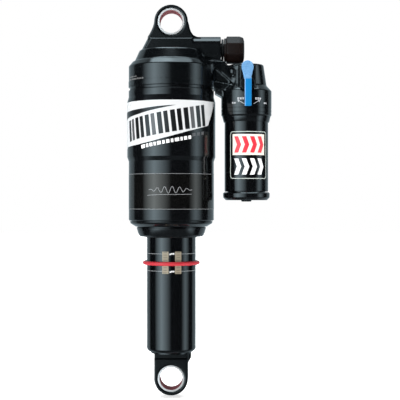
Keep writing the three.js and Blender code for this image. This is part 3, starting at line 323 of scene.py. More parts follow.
def skin(solid, low, high, cell):
    """Skins a solid given as a distance: a point in each cell its surface crosses, moved onto it."""
    counts = [int(math.ceil((b - a) / cell)) + 1 for a, b in zip(low, high)]
    lines = [a + cell * np.arange(n) for a, n in zip(low, counts)]
    depth = solid(lines[0][:, None, None], lines[1][None, :, None], lines[2][None, None, :])
    depth = np.broadcast_to(depth, counts)
    inside = depth < 0
    corners = [(i, j, k) for i in (0, 1) for j in (0, 1) for k in (0, 1)]
    cells = [n - 1 for n in counts]
    full = np.ones(cells, bool)
    some = np.zeros(cells, bool)
    for i, j, k in corners:
        part = inside[i : i + cells[0], j : j + cells[1], k : k + cells[2]]
        full &= part
        some |= part
    crossed = np.argwhere(some & ~full)
    index = np.full(cells, -1)
    index[tuple(crossed.T)] = np.arange(len(crossed))
    total = np.zeros((len(crossed), 3))
    count = np.zeros(len(crossed))
    for a in corners:
        for axis in range(3):
            if a[axis]:
                continue
            b = tuple(v + (n == axis) for n, v in enumerate(a))
            da = depth[tuple((crossed + a).T)]
            db = depth[tuple((crossed + b).T)]
            cut = (da < 0) != (db < 0)
            share = np.where(cut, da / np.where(cut, da - db, 1), 0)
            spot = np.array(a)[None, :] + share[:, None] * (np.array(b) - np.array(a))[None, :]
            total[cut] += spot[cut]
            count[cut] += 1
    points = np.array(low) + (crossed + total / count[:, None]) * cell
    quads = []
    for axis in range(3):
        u, v = (axis + 1) % 3, (axis + 2) % 3
        step_u, step_v = np.eye(3, dtype=int)[u], np.eye(3, dtype=int)[v]
        near = [slice(None)] * 3
        far = [slice(None)] * 3
        near[axis], far[axis] = slice(0, -1), slice(1, None)
        out = inside[tuple(near)] & ~inside[tuple(far)]
        back = ~inside[tuple(near)] & inside[tuple(far)]
        for edges, order in ((out, (0, 1, 2, 3)), (back, (3, 2, 1, 0))):
            at = np.argwhere(edges)
            at = at[(at[:, u] > 0) & (at[:, v] > 0) & (at[:, u] < cells[u]) & (at[:, v] < cells[v])]
            ring = [at - step_u - step_v, at - step_v, at, at - step_u]
            quads.append(np.stack([index[tuple(ring[n].T)] for n in order], 1))
    quads = np.concatenate(quads)

    def settle(points):
        """Moves points along the slope to the surface, by half a cell at most."""
        reach = cell * 0.05
        here = solid(*points.T)
        slope = np.stack([solid(*(points + reach * step).T) - here for step in np.eye(3)], 1) / reach
        size = np.maximum((slope**2).sum(1), 0.25)
        move = (here / size)[:, None] * slope
        far = np.sqrt((move**2).sum(1))
        return points - move * np.minimum(1, cell * 0.5 / np.maximum(far, 1e-9))[:, None]

    ends = np.concatenate([quads[:, (n, (n + 1) % 4)] for n in range(4)])
    for _ in range(SETTLE_ROUNDS):
        pull = np.zeros_like(points)
        links = np.zeros(len(points))
        for a, b in (ends.T, ends.T[::-1]):
            np.add.at(pull, a, points[b])
            np.add.at(links, a, 1)
        points = settle(points * 0.5 + 0.5 * pull / np.maximum(links, 1)[:, None])
    return settle(points), quads


SHARP = math.radians(40)


def piece(name, points, faces, body, finish, stands_for):
    """Makes a mesh, in mm in the row frame, as a piece that rides on a body and stands for CAD nodes."""
    mesh = bpy.data.meshes.new(name)
    mesh.from_pydata((np.asarray(points) * MM).tolist(), [], [list(map(int, face)) for face in faces])
    mesh.shade_smooth()
    mesh.set_sharp_from_angle(angle=SHARP)
    mesh.materials.append(finish)
    made = bpy.data.objects.new(name, mesh)
    scene.collection.objects.link(made)
    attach(made, body)
    if stands_for:
        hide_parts(*stands_for)
    return made


def grain(finish, size_mm, depth_mm, smudge=0.06):
    """Gives a finish a fine surface grain, and smudges that vary its gloss over centimetres."""
    tree = finish.node_tree
    shader = tree.nodes["Principled BSDF"]
    place = add(tree, "ShaderNodeTexCoord").outputs["Object"]
    fine = add(tree, "ShaderNodeTexNoise", {"Vector": place, "Scale": 1000 / size_mm, "Detail": 3.0})
    relief = {"Height": fine.outputs["Fac"], "Distance": depth_mm * MM, "Strength": 0.5}
    bump = add(tree, "ShaderNodeBump", relief)
    tree.links.new(bump.outputs["Normal"], shader.inputs["Normal"])
    broad = add(tree, "ShaderNodeTexNoise", {"Vector": place, "Scale": 45.0, "Detail": 4.0})
    rough = shader.inputs["Roughness"].default_value
    limits = {"Value": broad.outputs["Fac"], "From Min": 0.3, "From Max": 0.7}
    limits |= {"To Min": rough - smudge, "To Max": rough + smudge}
    tree.links.new(add(tree, "ShaderNodeMapRange", limits).outputs["Result"], shader.inputs["Roughness"])
    return finish


# Bead-blasted and anodised aluminium: a dyed oxide skin, so a dark surface with a clear, soft gloss.
forged_black = grain(material("anodised_forging", "#07090B", 0.0, 0.15), 0.5, 0.004, 0.03)

points, quads = skin(head_forging, (-26, -26, -50), (58, 26, 11), HEAD["cell"])
piece("head_casting", points, quads, "head", forged_black, ["head_forging"])

# For each axis, which of (across, across, along) gives X, Y and Z.
AXES = {"X": (2, 0, 1), "Y": (1, 2, 0), "Z": (0, 1, 2)}
FLAT_CORNER = 40
FLAT_SIZE = 1.012


def arc(before, corner, after, radius, steps=5):
    """The corner between two straight stretches, rounded to a radius."""
    corner = np.array(corner, float)
    ways = [np.array(p, float) - corner for p in (before, after)]
    lengths = [math.hypot(*w) for w in ways]
    ways = [w / n for w, n in zip(ways, lengths)]
    half = math.acos(max(-1, min(1, float(ways[0] @ ways[1])))) / 2
    reach = min(radius / math.tan(half), 0.45 * min(lengths))
    radius = reach * math.tan(half)
    middle = ways[0] + ways[1]
    centre = corner + middle / math.hypot(*middle) * radius / math.sin(half)
    ends = [corner + w * reach - centre for w in ways]
    angle = math.atan2(ends[0][0] * ends[1][1] - ends[0][1] * ends[1][0], float(ends[0] @ ends[1]))
    turns = [angle * i / steps for i in range(steps + 1)]
    spin = [(math.cos(a), math.sin(a)) for a in turns]
    x, y = ends[0]
    return [tuple(centre + (x * c - y * s, x * s + y * c)) for c, s in spin]


def turned(
    name, profile, body, finish, stands_for, axis="Z", centre=(0, 0, 0), steps=128, flats=(1, 999)
):
    """Turns a closed profile of (radius, height, corner radius) in mm, counter-clockwise, about an axis.

    flats is how many flats it has all round, with soft corners, and the radius from which they show.
    """
    outline = []
    for i, (r, h, *fillet) in enumerate(profile):
        before, after = profile[i - 1][:2], profile[(i + 1) % len(profile)][:2]
        outline += arc(before, (r, h), after, fillet[0]) if fillet else [(r, h)]
    count = len(outline)
    order = AXES[axis]
    points, faces = [], []
    for i in range(steps):
        a = 2 * math.pi * i / steps
        c, s = math.cos(a), math.sin(a)
        flat = 1
        if flats[0] > 2:
            sides = [max(0, math.cos(a - math.tau * n / flats[0])) ** FLAT_CORNER for n in range(flats[0])]
            flat = sum(sides) ** (-1 / FLAT_CORNER) * math.cos(math.pi / flats[0]) * FLAT_SIZE
        for r, h in outline:
            size = r * flat if r > flats[1] else r
            local = (size * c, size * s, h)
            points.append([local[order[k]] + centre[k] for k in range(3)])
        for j in range(count):
            k, n = (j + 1) % count, (i + 1) % steps
            faces.append((i * count + j, n * count + j, n * count + k, i * count + k))
    made = piece(name, points, faces, body, finish, stands_for)
    mend(made)
    return made


def mend(made):
    """Merges the points that meet on an axis and drops the faces that this leaves flat."""
    mesh = bmesh.new()
    mesh.from_mesh(made.data)
    bmesh.ops.remove_doubles(mesh, verts=mesh.verts, dist=1e-3 * MM)
    bmesh.ops.dissolve_degenerate(mesh, dist=1e-4 * MM, edges=mesh.edges)
    mesh.to_mesh(made.data)
    mesh.free()


def lathe_marks(finish, pitch_mm, depth_mm):
    """Adds rings as fine as a turning tool leaves them, drawn coarser than life so that they show."""
    tree = finish.node_tree
    shader = tree.nodes["Principled BSDF"]
    place = add(tree, "ShaderNodeTexCoord").outputs["Object"]
    stretched = add(tree, "ShaderNodeMapping", {"Vector": place, "Scale": (4.0, 4.0, 1000 / pitch_mm)})
    rings = add(tree, "ShaderNodeTexNoise", {"Vector": stretched.outputs[0], "Scale": 1.0, "Detail": 2.0})
    relief = {"Height": rings.outputs["Fac"], "Distance": depth_mm * MM, "Strength": 0.4}
    bump = add(tree, "ShaderNodeBump", relief)
    tree.links.new(bump.outputs["Normal"], shader.inputs["Normal"])
    smear = add(tree, "ShaderNodeTexNoise", {"Vector": place, "Scale": 38.0, "Detail": 5.0})
    rough = shader.inputs["Roughness"].default_value
    limits = {"Value": smear.outputs["Fac"], "From Min": 0.3, "From Max": 0.7}
    limits |= {"To Min": rough * 0.8, "To Max": rough * 1.3}
    tree.links.new(add(tree, "ShaderNodeMapRange", limits).outputs["Result"], shader.inputs["Roughness"])
    return finish


# Turned and hard-anodised aluminium: a harder gloss than the forging, and lathe marks round it.
turned_black = lathe_marks(material("turned_black_anodise", "#08090B", 0.0, 0.13), 0.25, 0.004)

# The land under the collar and the two fine grooves of the reservoir head are turned, so they are
# made as a lathe leaves them: sharp rings with a hairline chamfer.
LAND = [(22.1, -38.2), (23.4, -38.2, 0.1), (23.4, -36.9), (24.1, -36.6), (24.1, -36.3), (22.1, -36.3)]
turned("collar_land", LAND, "head", turned_black, ["head_forging"])
CENTRE = (RESERVOIR_X, 0, 0)
BARREL_R = 14.2
SKIRT = [
    (12.35, -56.2), (12.8, -56.2, 0.15), (13.5, -53.6, 0.3), (13.6, -52.9), (14.1, -52.4, 0.2),
    (BARREL_R, -51.2), (13.9, -51.1), (13.9, -50.8), (BARREL_R, -50.7), (BARREL_R, -48.9),
    (13.9, -48.8), (13.9, -48.5), (BARREL_R, -48.4), (BARREL_R, -47.3), (12.35, -47.3),
]
turned("reservoir_head_skirt", SKIRT, "head", turned_black, ["head_forging"], centre=CENTRE)

# ---- Air can and outer sleeve ----------------------------------------------------------------
# The can screws into the head; the sleeve slides over it and holds the second air volume. Both
# are turned from tube and anodised gloss black. The sleeve is wider over its upper half.
# It is drawn 0.13 mm under its 25 mm radius, which leaves room for two layers of ink.
SLEEVE_R = 24.87
BAND_R = 24.0
SLEEVE = [
    (22.45, -111.6), (23.6, -111.6, 0.2), (BAND_R, -111.1, 0.2), (BAND_R, -78.4, 0.8),
    (SLEEVE_R, -75.9, 0.5), (SLEEVE_R, -45.2, 0.4), (24.05, -42.2, 0.9), (24.05, -38.5, 0.25),
    (22.45, -38.5), (22.45, -45.4), (23.4, -47.6), (23.4, -73.5), (22.45, -75.7),
]
turned("sleeve_shell", SLEEVE, "head", turned_black, ["outer_sleeve"], steps=192)
CAN = [
    (19.0, -114.9), (20.1, -114.9, 0.3), (22.9, -113.2, 0.5), (23.5, -111.9, 0.3), (22.3, -111.9),
    (22.3, -105.7), (21.0, -104.6), (21.0, -45.6), (22.3, -44.6), (22.3, -38.2), (21.8, -38.2),
    (21.8, -28.4, 0.4), (19.0, -28.4),
]
turned("air_can_shell", CAN, "head", turned_black, ["air_can"], steps=192)

# ---- Seal head -------------------------------------------------------------------------------
# The cap that screws into the can's foot carries the glide bush, the air seal and the wiper that
# the damper tube slides through. It is turned aluminium; the wiper is black nitrile rubber.
CAP = [
    (16.5, -120.5), (17.6, -120.5, 0.3), (18.4, -119.6, 0.4), (19.6, -115.6, 0.4), (19.2, -115.2, 0.2),
    (18.9, -115.2), (18.9, -103.9, 0.3), (14.35, -103.9), (14.35, -104.9), (15.45, -104.9),
    (15.45, -109.9), (14.35, -109.9), (14.35, -111.8), (16.2, -111.8), (16.2, -114.2), (14.35, -114.2),
    (14.35, -117.7), (16.5, -117.7),
]
turned("seal_head", CAP, "head", turned_black, ["can_end_cap"], steps=160)
# Moulded black rubber, matt, with a fine bloom.
nitrile = grain(material("nitrile_rubber", "#101010", 0.0, 0.6), 0.3, 0.02)
WIPER = [
    (14.0, -121.0), (14.7, -120.8, 0.2), (15.0, -120.3, 0.2), (16.4, -120.3, 0.2), (16.4, -117.9),
    (14.0, -117.9),
]
turned("wiper_lip", WIPER, "head", nitrile, ["wiper_seal"], steps=128)

# ---- Damper tube and sag ring ----------------------------------------------------------------
# A honed tube, hard-anodised and polished outside because the seals run on it. The ring is red
# silicone cord that stays where the deepest stroke pushed it.
# Polished hard anodise: nearly a mirror, so it shows the bands of light most sharply.
tube_black = lathe_marks(material("polished_hard_anodise", "#07080A", 0.0, 0.09), 0.4, 0.002)
TUBE_R = 13.83
TUBE = [
    (9.0, -185.2), (TUBE_R, -185.2, 2.6), (TUBE_R, -97.9, 0.3), (11.85, -97.9), (11.85, -183.0),
    (9.0, -183.0),
]
turned("damper_body_tube", TUBE, "damper", tube_black, ["damper_tube"], steps=160)


def ring(radius, height, cord, sides=20):
    """The profile of a round cord bent to a ring."""
    turns = [2 * math.pi * i / sides for i in range(sides)]
    return [(radius + cord * math.cos(a), height + cord * math.sin(a)) for a in turns]


# Moulded silicone: even red with a soft satin sheen.
silicone = grain(material("red_silicone", "#B8202E", 0.0, 0.38), 0.4, 0.01)
turned("sag_o_ring", ring(15.05, -135.3, 1.1), "sag_ring", silicone, ["sag_ring"], steps=160)

# ---- Lower eyelet ----------------------------------------------------------------------------
# A forged eye, machined flat front and back, on a thin neck under the tube; the boss on the right
# takes the screw that closes the damper's bleed hole.
LOWER_Z = -200.0


EYE_R = 9.5
EYE_HALF = 6.35
BLEED_H = 12.2


def lower_eye(x, y, z):
    """The lower eyelet as a signed distance in mm."""
    h = z - LOWER_Z
    eye = cylinder(x, h, y, EYE_R, -EYE_HALF, EYE_HALF, 0.5)
    shank = plate(x, h, y, [(-EYE_R, 0), (EYE_R, 0), (EYE_R, 14.6), (-EYE_R, 14.6)], EYE_HALF, 0.5)
    body = joined(eye, shank)
    for side in (-1, 1):
        shoulder = polygon(y * side, h, [(5.6, 11.4), (6.6, 10.4), (9.0, 10.4), (9.0, 16), (5.6, 16)])
        body = without(body, shoulder, 0.4)
    boss = [(7, 8.3), (9.3, 8.3), (11.2, 11.3), (11.2, 14.3), (7, 14.3)]
    body = joined(body, plate(x, h, y, boss, 3.0, 0.4), 0.5)
    body = joined(body, cylinder(x, y, h, 11.6, 13.9, 17.6, 0.3))
    body = without(body, np.sqrt(x * x + h * h) - HEAD["bush_r"], 0.5)
    return without(body, cylinder(y, h - BLEED_H, x, 1.65, 6.5, 20, 0.1), 0.15)


points, quads = skin(lower_eye, (-13, -13, -211), (13, 13, -181), 0.36)
piece("lower_eye_forging", points, quads, "damper", forged_black, ["lower_eyelet"])

# ---- Eye bushes ------------------------------------------------------------------------------
# Each eye holds a rolled steel bush, plated bright, with a thin dusty red bearing liner inside.
# Zinc plate is bright but not a mirror; the woven liner is matt and dusty.
bright = grain(material("plated_steel", "#D8D8D8", 0.6, 0.35), 0.5, 0.002)
liner = grain(material("bearing_liner", "#8E4A50", 0.0, 0.7, Specular_IOR_Level=0.15), 0.4, 0.002, 0.05)
for name, height, body in (("upper", 0.0, "head"), ("lower", LOWER_Z, "damper")):
    shell = [(6.42, -6.3), (7.42, -6.3, 0.15), (7.42, 6.3, 0.15), (6.42, 6.3)]
    lining = [(6.35, -6.0), (6.4, -6.0), (6.4, 6.0), (6.35, 6.0)]
    place = (0, 0, height)
    turned(name + "_bush_shell", shell, body, bright, [name + "_bush"], "Y", place, 96)
    turned(name + "_bush_lining", lining, body, liner, [name + "_bush"], "Y", place, 96)

# ---- Reservoir -------------------------------------------------------------------------------
# A short tube screwed into the forging, closed by a cap with a filler screw in its middle.
RES_R = 12.3
RESERVOIR = [
    (10.8, -95.3), (12.1, -95.3, 0.2), (RES_R, -94.8), (RES_R, -55.6, 0.3), (12.35, -44.3), (10.8, -44.3),
]
turned("reservoir_body", RESERVOIR, "head", turned_black, ["reservoir_tube"], centre=CENTRE)
FOOT = [
    (3.0, -100.1), (11.6, -100.1, 0.5), (13.1, -98.6, 0.8), (13.2, -96.3, 0.4), (12.5, -95.6, 0.2),
    (10.7, -95.6), (10.7, -89.4, 0.3), (1.0, -89.4), (1.0, -97.0), (3.0, -97.0),
]
turned("reservoir_end", FOOT, "head", turned_black, ["reservoir_cap"], centre=CENTRE)

FILL = [(0, -100.9), (2.6, -100.9, 0.3), (2.9, -100.5), (2.9, -97.4), (0, -97.4)]
# Heat-blackened steel: dark, metallic and a little rough.
dark_steel = grain(material("blackened_steel", "#1B1C1E", 0.8, 0.34), 0.4, 0.01)
turned("filler_screw", FILL, "head", dark_steel, ["fill_screw"], centre=CENTRE, steps=48)

# ---- Air valve -------------------------------------------------------------------------------
# A threaded stem screwed into the boss, with a black flange, and a moulded cap with eight flats.
VALVE_AT = (0, 0, VALVE_Z)
FLANGE = [
    (2.1, 19.1), (3.9, 19.1), (3.9, 28.3), (6.2, 28.3, 0.2), (6.2, 29.5, 0.2), (3.7, 29.5), (3.7, 30.2),
    (2.1, 30.2),
]
# The flange is chemically blacked and dull, the stem nickel-plated and bright, the cap moulded with a
# faint brown sheen.
black_oxide = grain(material("black_oxide", "#0A0A0B", 0.0, 0.5, Specular_IOR_Level=0.25), 0.4, 0.006)
turned("valve_flange", FLANGE, "head", black_oxide, ["air_valve_body"], "X", VALVE_AT, 64)
nickel = grain(material("nickel_plate", "#B9B4A6", 1.0, 0.28), 0.5, 0.004)
THREAD_PITCH = 0.8
THREADS = 9
CREST = ((0, 3.5), (0.5, 3.9))
crests = [(r, 30.2 + THREAD_PITCH * (n + part)) for n in range(THREADS) for part, r in CREST]
STEM = [(2.1, 30.0), (3.5, 30.0)] + crests + [(3.5, 37.6), (3.3, 38.0), (2.1, 38.0)]
turned("valve_stem", STEM, "head", nickel, ["air_valve_body"], "X", VALVE_AT, 64)
moulded = grain(material("moulded_nylon", "#150C0A", 0.0, 0.4, Specular_IOR_Level=0.16), 0.25, 0.006)
VALVE_CAP = [
    (4.1, 29.8), (6.9, 29.8, 0.3), (6.9, 30.9, 0.2), (8.0, 31.4, 0.4), (8.0, 38.4, 0.9), (7.2, 40.6, 0.9),
    (5.0, 41.1, 0.5), (0, 41.1), (0, 38.8), (4.1, 38.8),
]
GRIP = (8, 5.5)
turned(
    "valve_cap", VALVE_CAP, "valve_cap", moulded, ["air_valve_cap"], "X", VALVE_AT, 128, GRIP
)

# ---- Compression lever -----------------------------------------------------------------------
# Milled from aluminium and anodised blue, its paddle leaning back and blasted paler than the stem.
# It sits on a black hub that turns the base valve's spindle.
LEVER_FRONT = -17.4
LEVER_BACK = -15.4
LEVER_REACH = 12.55
PADDLE_R = 3.35
CREASE_Z = -33.2
LEAN = 0.085


def lever_shape(x, y, z):
    """The lever's blade as a signed distance in mm: paddle, waist and stem."""
    h = z - LEVER_Z
    rx = x - RESERVOIR_X
    paddle = np.sqrt(rx * rx + (h - LEVER_REACH + PADDLE_R) ** 2) - PADDLE_R
    waist = polygon(rx, h, [(-1.9, 2.4), (1.9, 2.4), (3.1, 7.9), (-3.1, 7.9)])
    foot = 0.4 - LEVER_REACH
    stem = polygon(rx, h, [(-1.2, foot), (1.8, foot), (1.8, 3), (-1.2, 3)]) - 0.4
    outline = joined(joined(paddle, waist, 0.6), stem, 0.3)
    lean = LEAN * np.maximum(0, z - CREASE_Z)
    deep = np.maximum(LEVER_FRONT + lean - y, y - LEVER_BACK)
    return both(outline, deep, 0.4)


# Dyed anodise over bare milling below the crease, and over bead blasting above it, whose pits show
# as a speckle, drawn coarser than life. A pale stripe down the left edge is a painted highlight,
# standing for the light that the broken edge catches.
blue = material("blue_anodise", "#0E84CB", 0.35, 0.3, Coat_Weight=0.2)
tree = blue.node_tree
place = add(tree, "ShaderNodeTexCoord").outputs["Object"]
speckle = add(tree, "ShaderNodeTexNoise", {"Vector": place, "Scale": 1300.0, "Detail": 2.0})
height = add(tree, "ShaderNodeSeparateXYZ", {"Vector": place}).outputs["Z"]
blasted = add(tree, "ShaderNodeMath", {0: height, 1: CREASE_Z * MM}, operation="GREATER_THAN").outputs[0]
grit = {"Fac": speckle.outputs["Fac"], "Color1": srgb("#3A80BC"), "Color2": srgb("#8EBCE2")}
pale = add(tree, "ShaderNodeMixRGB", grit)
# Painted highlight: left of a fixed X the milled blue turns pale blue, standing for light on the lever's
# edge.
sideways = add(tree, "ShaderNodeSeparateXYZ", {"Vector": place}).outputs["X"]
highlight_edge_x = (RESERVOIR_X - 1.3) * MM
painted_edge_highlight = add(tree, "ShaderNodeMath", {0: sideways, 1: highlight_edge_x}, operation="LESS_THAN").outputs[0]
edge_highlight_colours = {"Fac": painted_edge_highlight, "Color1": srgb("#0E84CB"), "Color2": srgb("#8FB0D8")}
milled_with_painted_highlight = add(tree, "ShaderNodeMixRGB", edge_highlight_colours).outputs["Color"]
tones = add(tree, "ShaderNodeMixRGB", {"Fac": blasted, "Color1": milled_with_painted_highlight, "Color2": pale.outputs["Color"]})
tree.links.new(tones.outputs["Color"], tree.nodes["Principled BSDF"].inputs["Base Color"])
sheen = {"Value": blasted, "To Min": 0.3, "To Max": 0.55}
gloss = add(tree, "ShaderNodeMapRange", sheen).outputs["Result"]
tree.links.new(gloss, tree.nodes["Principled BSDF"].inputs["Roughness"])
points, quads = skin(lever_shape, (37, -18.5, -49.5), (48, -14.5, -21.8), 0.25)
piece("lever_blade", points, quads, "lever", blue, ["compression_lever"])
LEVER_AT = (RESERVOIR_X, 0, LEVER_Z)
HUB = [(0, -15.3), (3.9, -15.3, 0.3), (4.1, -15.0), (4.1, -13.1, 0.3), (2.4, -13.1), (2.4, 4.0), (0, 4.0)]
turned("lever_hub", HUB, "lever", turned_black, ["lever_spindle"], "Y", LEVER_AT, 64)

# ---- Rebound knob ----------------------------------------------------------------------------
# A red anodised knob on the back of the head, with ribs round it for grip, held by one screw.
KNOB_AT = (0, 0, -15)
# Red dye over metal, so its highlights stay red.
red = grain(material("red_anodise", "#A01420", 0.6, 0.28), 0.3, 0.004)
KNOB = [
    (2.2, 8.1), (5.8, 8.1, 0.2), (5.9, 8.6), (5.9, 13.1, 0.4), (5.2, 13.6, 0.3), (2.4, 13.6, 0.2),
    (2.1, 12.0), (1.9, 8.1),
]
turned("rebound_dial", KNOB, "rebound_knob", red, ["rebound_knob"], "Y", KNOB_AT, 96)
SCREW = [(0, 12.1), (1.9, 12.1), (1.9, 13.1, 0.15), (1.0, 13.3), (0.9, 12.6), (0, 12.6)]
turned("dial_screw", SCREW, "rebound_knob", dark_steel, ["rebound_knob_screw"], "Y", KNOB_AT, 48)


SOCKETS = {int: "NodeSocketInt", float: "NodeSocketFloat", tuple: "NodeSocketVector"}


def nodes_mesh(name, build, finish, sizes):
    """Makes a mesh with Geometry Nodes: build(tree, given) returns the geometry, from the named sizes."""
    tree = bpy.data.node_groups.new(name, "GeometryNodeTree")
    tree.interface.new_socket("Geometry", in_out="OUTPUT", socket_type="NodeSocketGeometry")
    sockets = {}
    for size, value in sizes.items():
        kind = SOCKETS[type(value)]
        sockets[size] = tree.interface.new_socket(size, in_out="INPUT", socket_type=kind)
    given = add(tree, "NodeGroupInput").outputs
    real = add(tree, "GeometryNodeRealizeInstances", {"Geometry": build(tree, given)})
    dressed = add(tree, "GeometryNodeSetMaterial", {"Geometry": real.outputs[0], "Material": finish})
    add(tree, "NodeGroupOutput", {0: dressed.outputs[0]})
    carrier = bpy.data.objects.new(name, bpy.data.meshes.new(name))
    scene.collection.objects.link(carrier)
    modifier = carrier.modifiers.new("nodes", "NODES")
    modifier.node_group = tree
    for size, value in sizes.items():
        modifier[sockets[size].identifier] = value
    graph = bpy.context.evaluated_depsgraph_get()
    mesh = bpy.data.meshes.new_from_object(carrier.evaluated_get(graph))
    mesh.name = name
    bpy.data.objects.remove(carrier)
    made = bpy.data.objects.new(name, mesh)
    scene.collection.objects.link(made)
    return made


def knob_ribs(tree, given):
    """Round ribs stood in a circle and laid over, so that they run along the knob's axis."""
    circle = {"Vertices": given["Ribs"], "Radius": given["Circle radius"]}
    ring = add(tree, "GeometryNodeMeshCircle", circle)
    bar = {"Vertices": RIB_SIDES, "Radius": given["Rib radius"], "Depth": given["Rib length"]}
    rib = add(tree, "GeometryNodeMeshCylinder", bar)
    spots = {"Points": ring.outputs[0], "Instance": rib.outputs[0]}
    copies = add(tree, "GeometryNodeInstanceOnPoints", spots)
    turn = {"Geometry": copies.outputs[0], "Rotation": (math.pi / 2, 0, 0), "Translation": given["Middle"]}
    return add(tree, "GeometryNodeTransform", turn).outputs[0]


RIB_SIDES = 12
RIBS = {
    "Ribs": 18,
    "Circle radius": 5.92 * MM,
    "Rib radius": 0.46 * MM,
    "Rib length": 4.2 * MM,
    "Middle": (0.0, 10.75 * MM, KNOB_AT[2] * MM),
}
ribs = nodes_mesh("dial_ribs", knob_ribs, red, RIBS)
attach(ribs, "rebound_knob")
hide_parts("rebound_knob")

# ---- Bleed screw -----------------------------------------------------------------------------
# A blackened socket screw in the boss of the lower eyelet.
BLEED_AT = (0, 0, LOWER_Z + BLEED_H)
BLEED = [(0, 7.7), (1.5, 7.7), (1.5, 10.7, 0.15), (1.0, 10.9), (0.9, 9.7), (0, 9.7)]
turned("bleed_plug", BLEED, "damper", dark_steel, ["bleed_screw"], "X", BLEED_AT, 48)

# ---- Printed graphics ------------------------------------------------------------------------
# Thin films and inks on the tubes, made flat in arc length and height, and wrapped. The badges are
# plain generic shapes.
INK = 0.06
SUNK = 0.03
WRAP_STEP = 0.9


def wrapped(name, shapes, radius, body, finish, centre=0.0):
    """Wraps flat outlines of (arc length from the front, height), in mm, round a tube as a thin film."""
    mesh = bmesh.new()
    for shape in shapes:
        mesh.faces.new([mesh.verts.new((u, 0, h)) for u, h in shape])
    low = min(u for shape in shapes for u, h in shape)
    high = max(u for shape in shapes for u, h in shape)
    for n in range(int((high - low) / WRAP_STEP)):
        spot = (low + WRAP_STEP * (n + 1), 0, 0)
        everything = mesh.verts[:] + mesh.edges[:] + mesh.faces[:]
        bmesh.ops.bisect_plane(mesh, geom=everything, plane_co=spot, plane_no=(1, 0, 0), dist=1e-5)
    bmesh.ops.triangulate(mesh, faces=mesh.faces[:])
    if sum(face.normal.y * face.calc_area() for face in mesh.faces) > 0:
        bmesh.ops.reverse_faces(mesh, faces=mesh.faces[:])
    raised = bmesh.ops.extrude_face_region(mesh, geom=mesh.faces[:], use_keep_orig=True)
    upper = {v for v in raised["geom"] if isinstance(v, bmesh.types.BMVert)}
    for vert in mesh.verts:
        out = radius + (INK if vert in upper else -SUNK)
        angle = vert.co.x / radius
        vert.co = (centre + out * math.sin(angle), -out * math.cos(angle), vert.co.z)
    bmesh.ops.recalc_face_normals(mesh, faces=mesh.faces[:])
    bmesh.ops.scale(mesh, vec=(MM, MM, MM), verts=mesh.verts)
    data = bpy.data.meshes.new(name)
    mesh.to_mesh(data)
    mesh.free()
    data.shade_smooth()
    data.set_sharp_from_angle(angle=SHARP)
    data.materials.append(finish)
    made = bpy.data.objects.new(name, data)
    scene.collection.objects.link(made)
    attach(made, body)
    return made


def block(left, right, low, high, rise=0.0, slant=0.0):
    """A four-sided mark: rise lifts its right end and slant leans its top to the right."""
    return [(left, low), (right, low + rise), (right + slant, high + rise), (left + slant, high)]


def ink(name, code, rough=0.35):
    """Screen ink or vinyl film: flat colour, satin, with barely any grain."""
    return grain(material(name, code, 0.0, rough), 0.5, 0.003, 0.04)


white_film = ink("white_film", "#CFD1D2", 0.3)
black_ink = ink("black_ink", "#0B0B0C")
grey_ink = ink("grey_ink", "#4A4B4D")
white_ink = ink("white_ink", "#F0F0F0")
label = [
    (-52, -76.5), (-33.3, -70.6), (-20, -69.5), (-11.5, -68.0), (0.7, -65.0), (11.1, -62.1), (24.1, -58.9),
    (32.3, -45.5), (-52, -45.5),
]
wrapped("sleeve_label", [label], SLEEVE_R, "head", white_film)
swoosh = [
    (-40, -55.6), (-31.4, -54.4), (-20.1, -52.8), (-11.4, -51.1), (-3.5, -49.6), (3.4, -48.2),
    (-7.1, -48.85), (-17, -49.8), (-31.4, -50.8), (-40, -51.0),
]
over = SLEEVE_R + INK
wrapped("label_swoosh", [swoosh], over, "head", black_ink)
SLOPE = 0.169


def bar(u, width, low, high, slant=-1.3):
    """An upright bar whose foot follows the label's slope."""
    base = -68 + (u + 28) * SLOPE
    return block(u, u + width, base + low, base + high, width * SLOPE, slant)


BAR_PITCH = 7.4
DARK_PAIRS, GREY_PAIRS = (1, 3, 4, 6), (0, 2, 5)
starts = [-28.5 + BAR_PITCH * n for n in range(7)]
dark_bars = [bar(u, 2.6, 0.3, 12.0) for u in starts]
dark_bars += [bar(starts[n] + 3.7, 2.3, 0.3, 12.0) for n in DARK_PAIRS]
wrapped("label_bars", dark_bars, over, "head", black_ink)
grey_bars = [bar(starts[n] + 3.7, 2.3, 0.3, 12.0) for n in GREY_PAIRS]
wrapped("label_grey_bars", grey_bars, over, "head", grey_ink)
WIDTHS = (2.6, 1.4, 1.8, 1.2, 2.2, 1.4, 1.8, 1.4, 2.4, 1.2, 1.8, 1.6)
dashes = []
u = -17.2
for width in WIDTHS:
    base = -71.8 + (u + 17.1) * 0.18
    dashes.append(block(u, u + width, base, base + 1.9, width * 0.18, -0.2))
    u += width + 0.75
wrapped("label_dashes", dashes, SLEEVE_R, "head", white_ink)
faint = [block(u + 3.0 * n, u + 3.0 * n + 1.9, -65.4 + 0.5 * n, -63.6 + 0.5 * n, 0.3) for n in range(3)]
wrapped("label_faint_dashes", faint, SLEEVE_R, "head", grey_ink)

# A clear gloss band round the sleeve's foot, ruled at both edges, with a plain wave in its middle.
clear_band = ink("clear_band", "#0A0A0A", 0.08)
clear_band.node_tree.nodes["Principled BSDF"].inputs["Specular Tint"].default_value = srgb("#FFF0E6")
ROUND = math.pi * BAND_R
band = block(-ROUND + 0.01, ROUND - 0.01, -105.2, -85.4)
wrapped("sleeve_band", [band], BAND_R, "head", clear_band)
rule_ink = ink("rule_ink", "#6E7072")
rules = [block(-ROUND + 0.01, ROUND - 0.01, h - 0.14, h + 0.14) for h in (-85.6, -105.0)]
wrapped("sleeve_rules", rules, BAND_R + INK, "head", rule_ink)
scroll_ink = ink("scroll_ink", "#77787A")


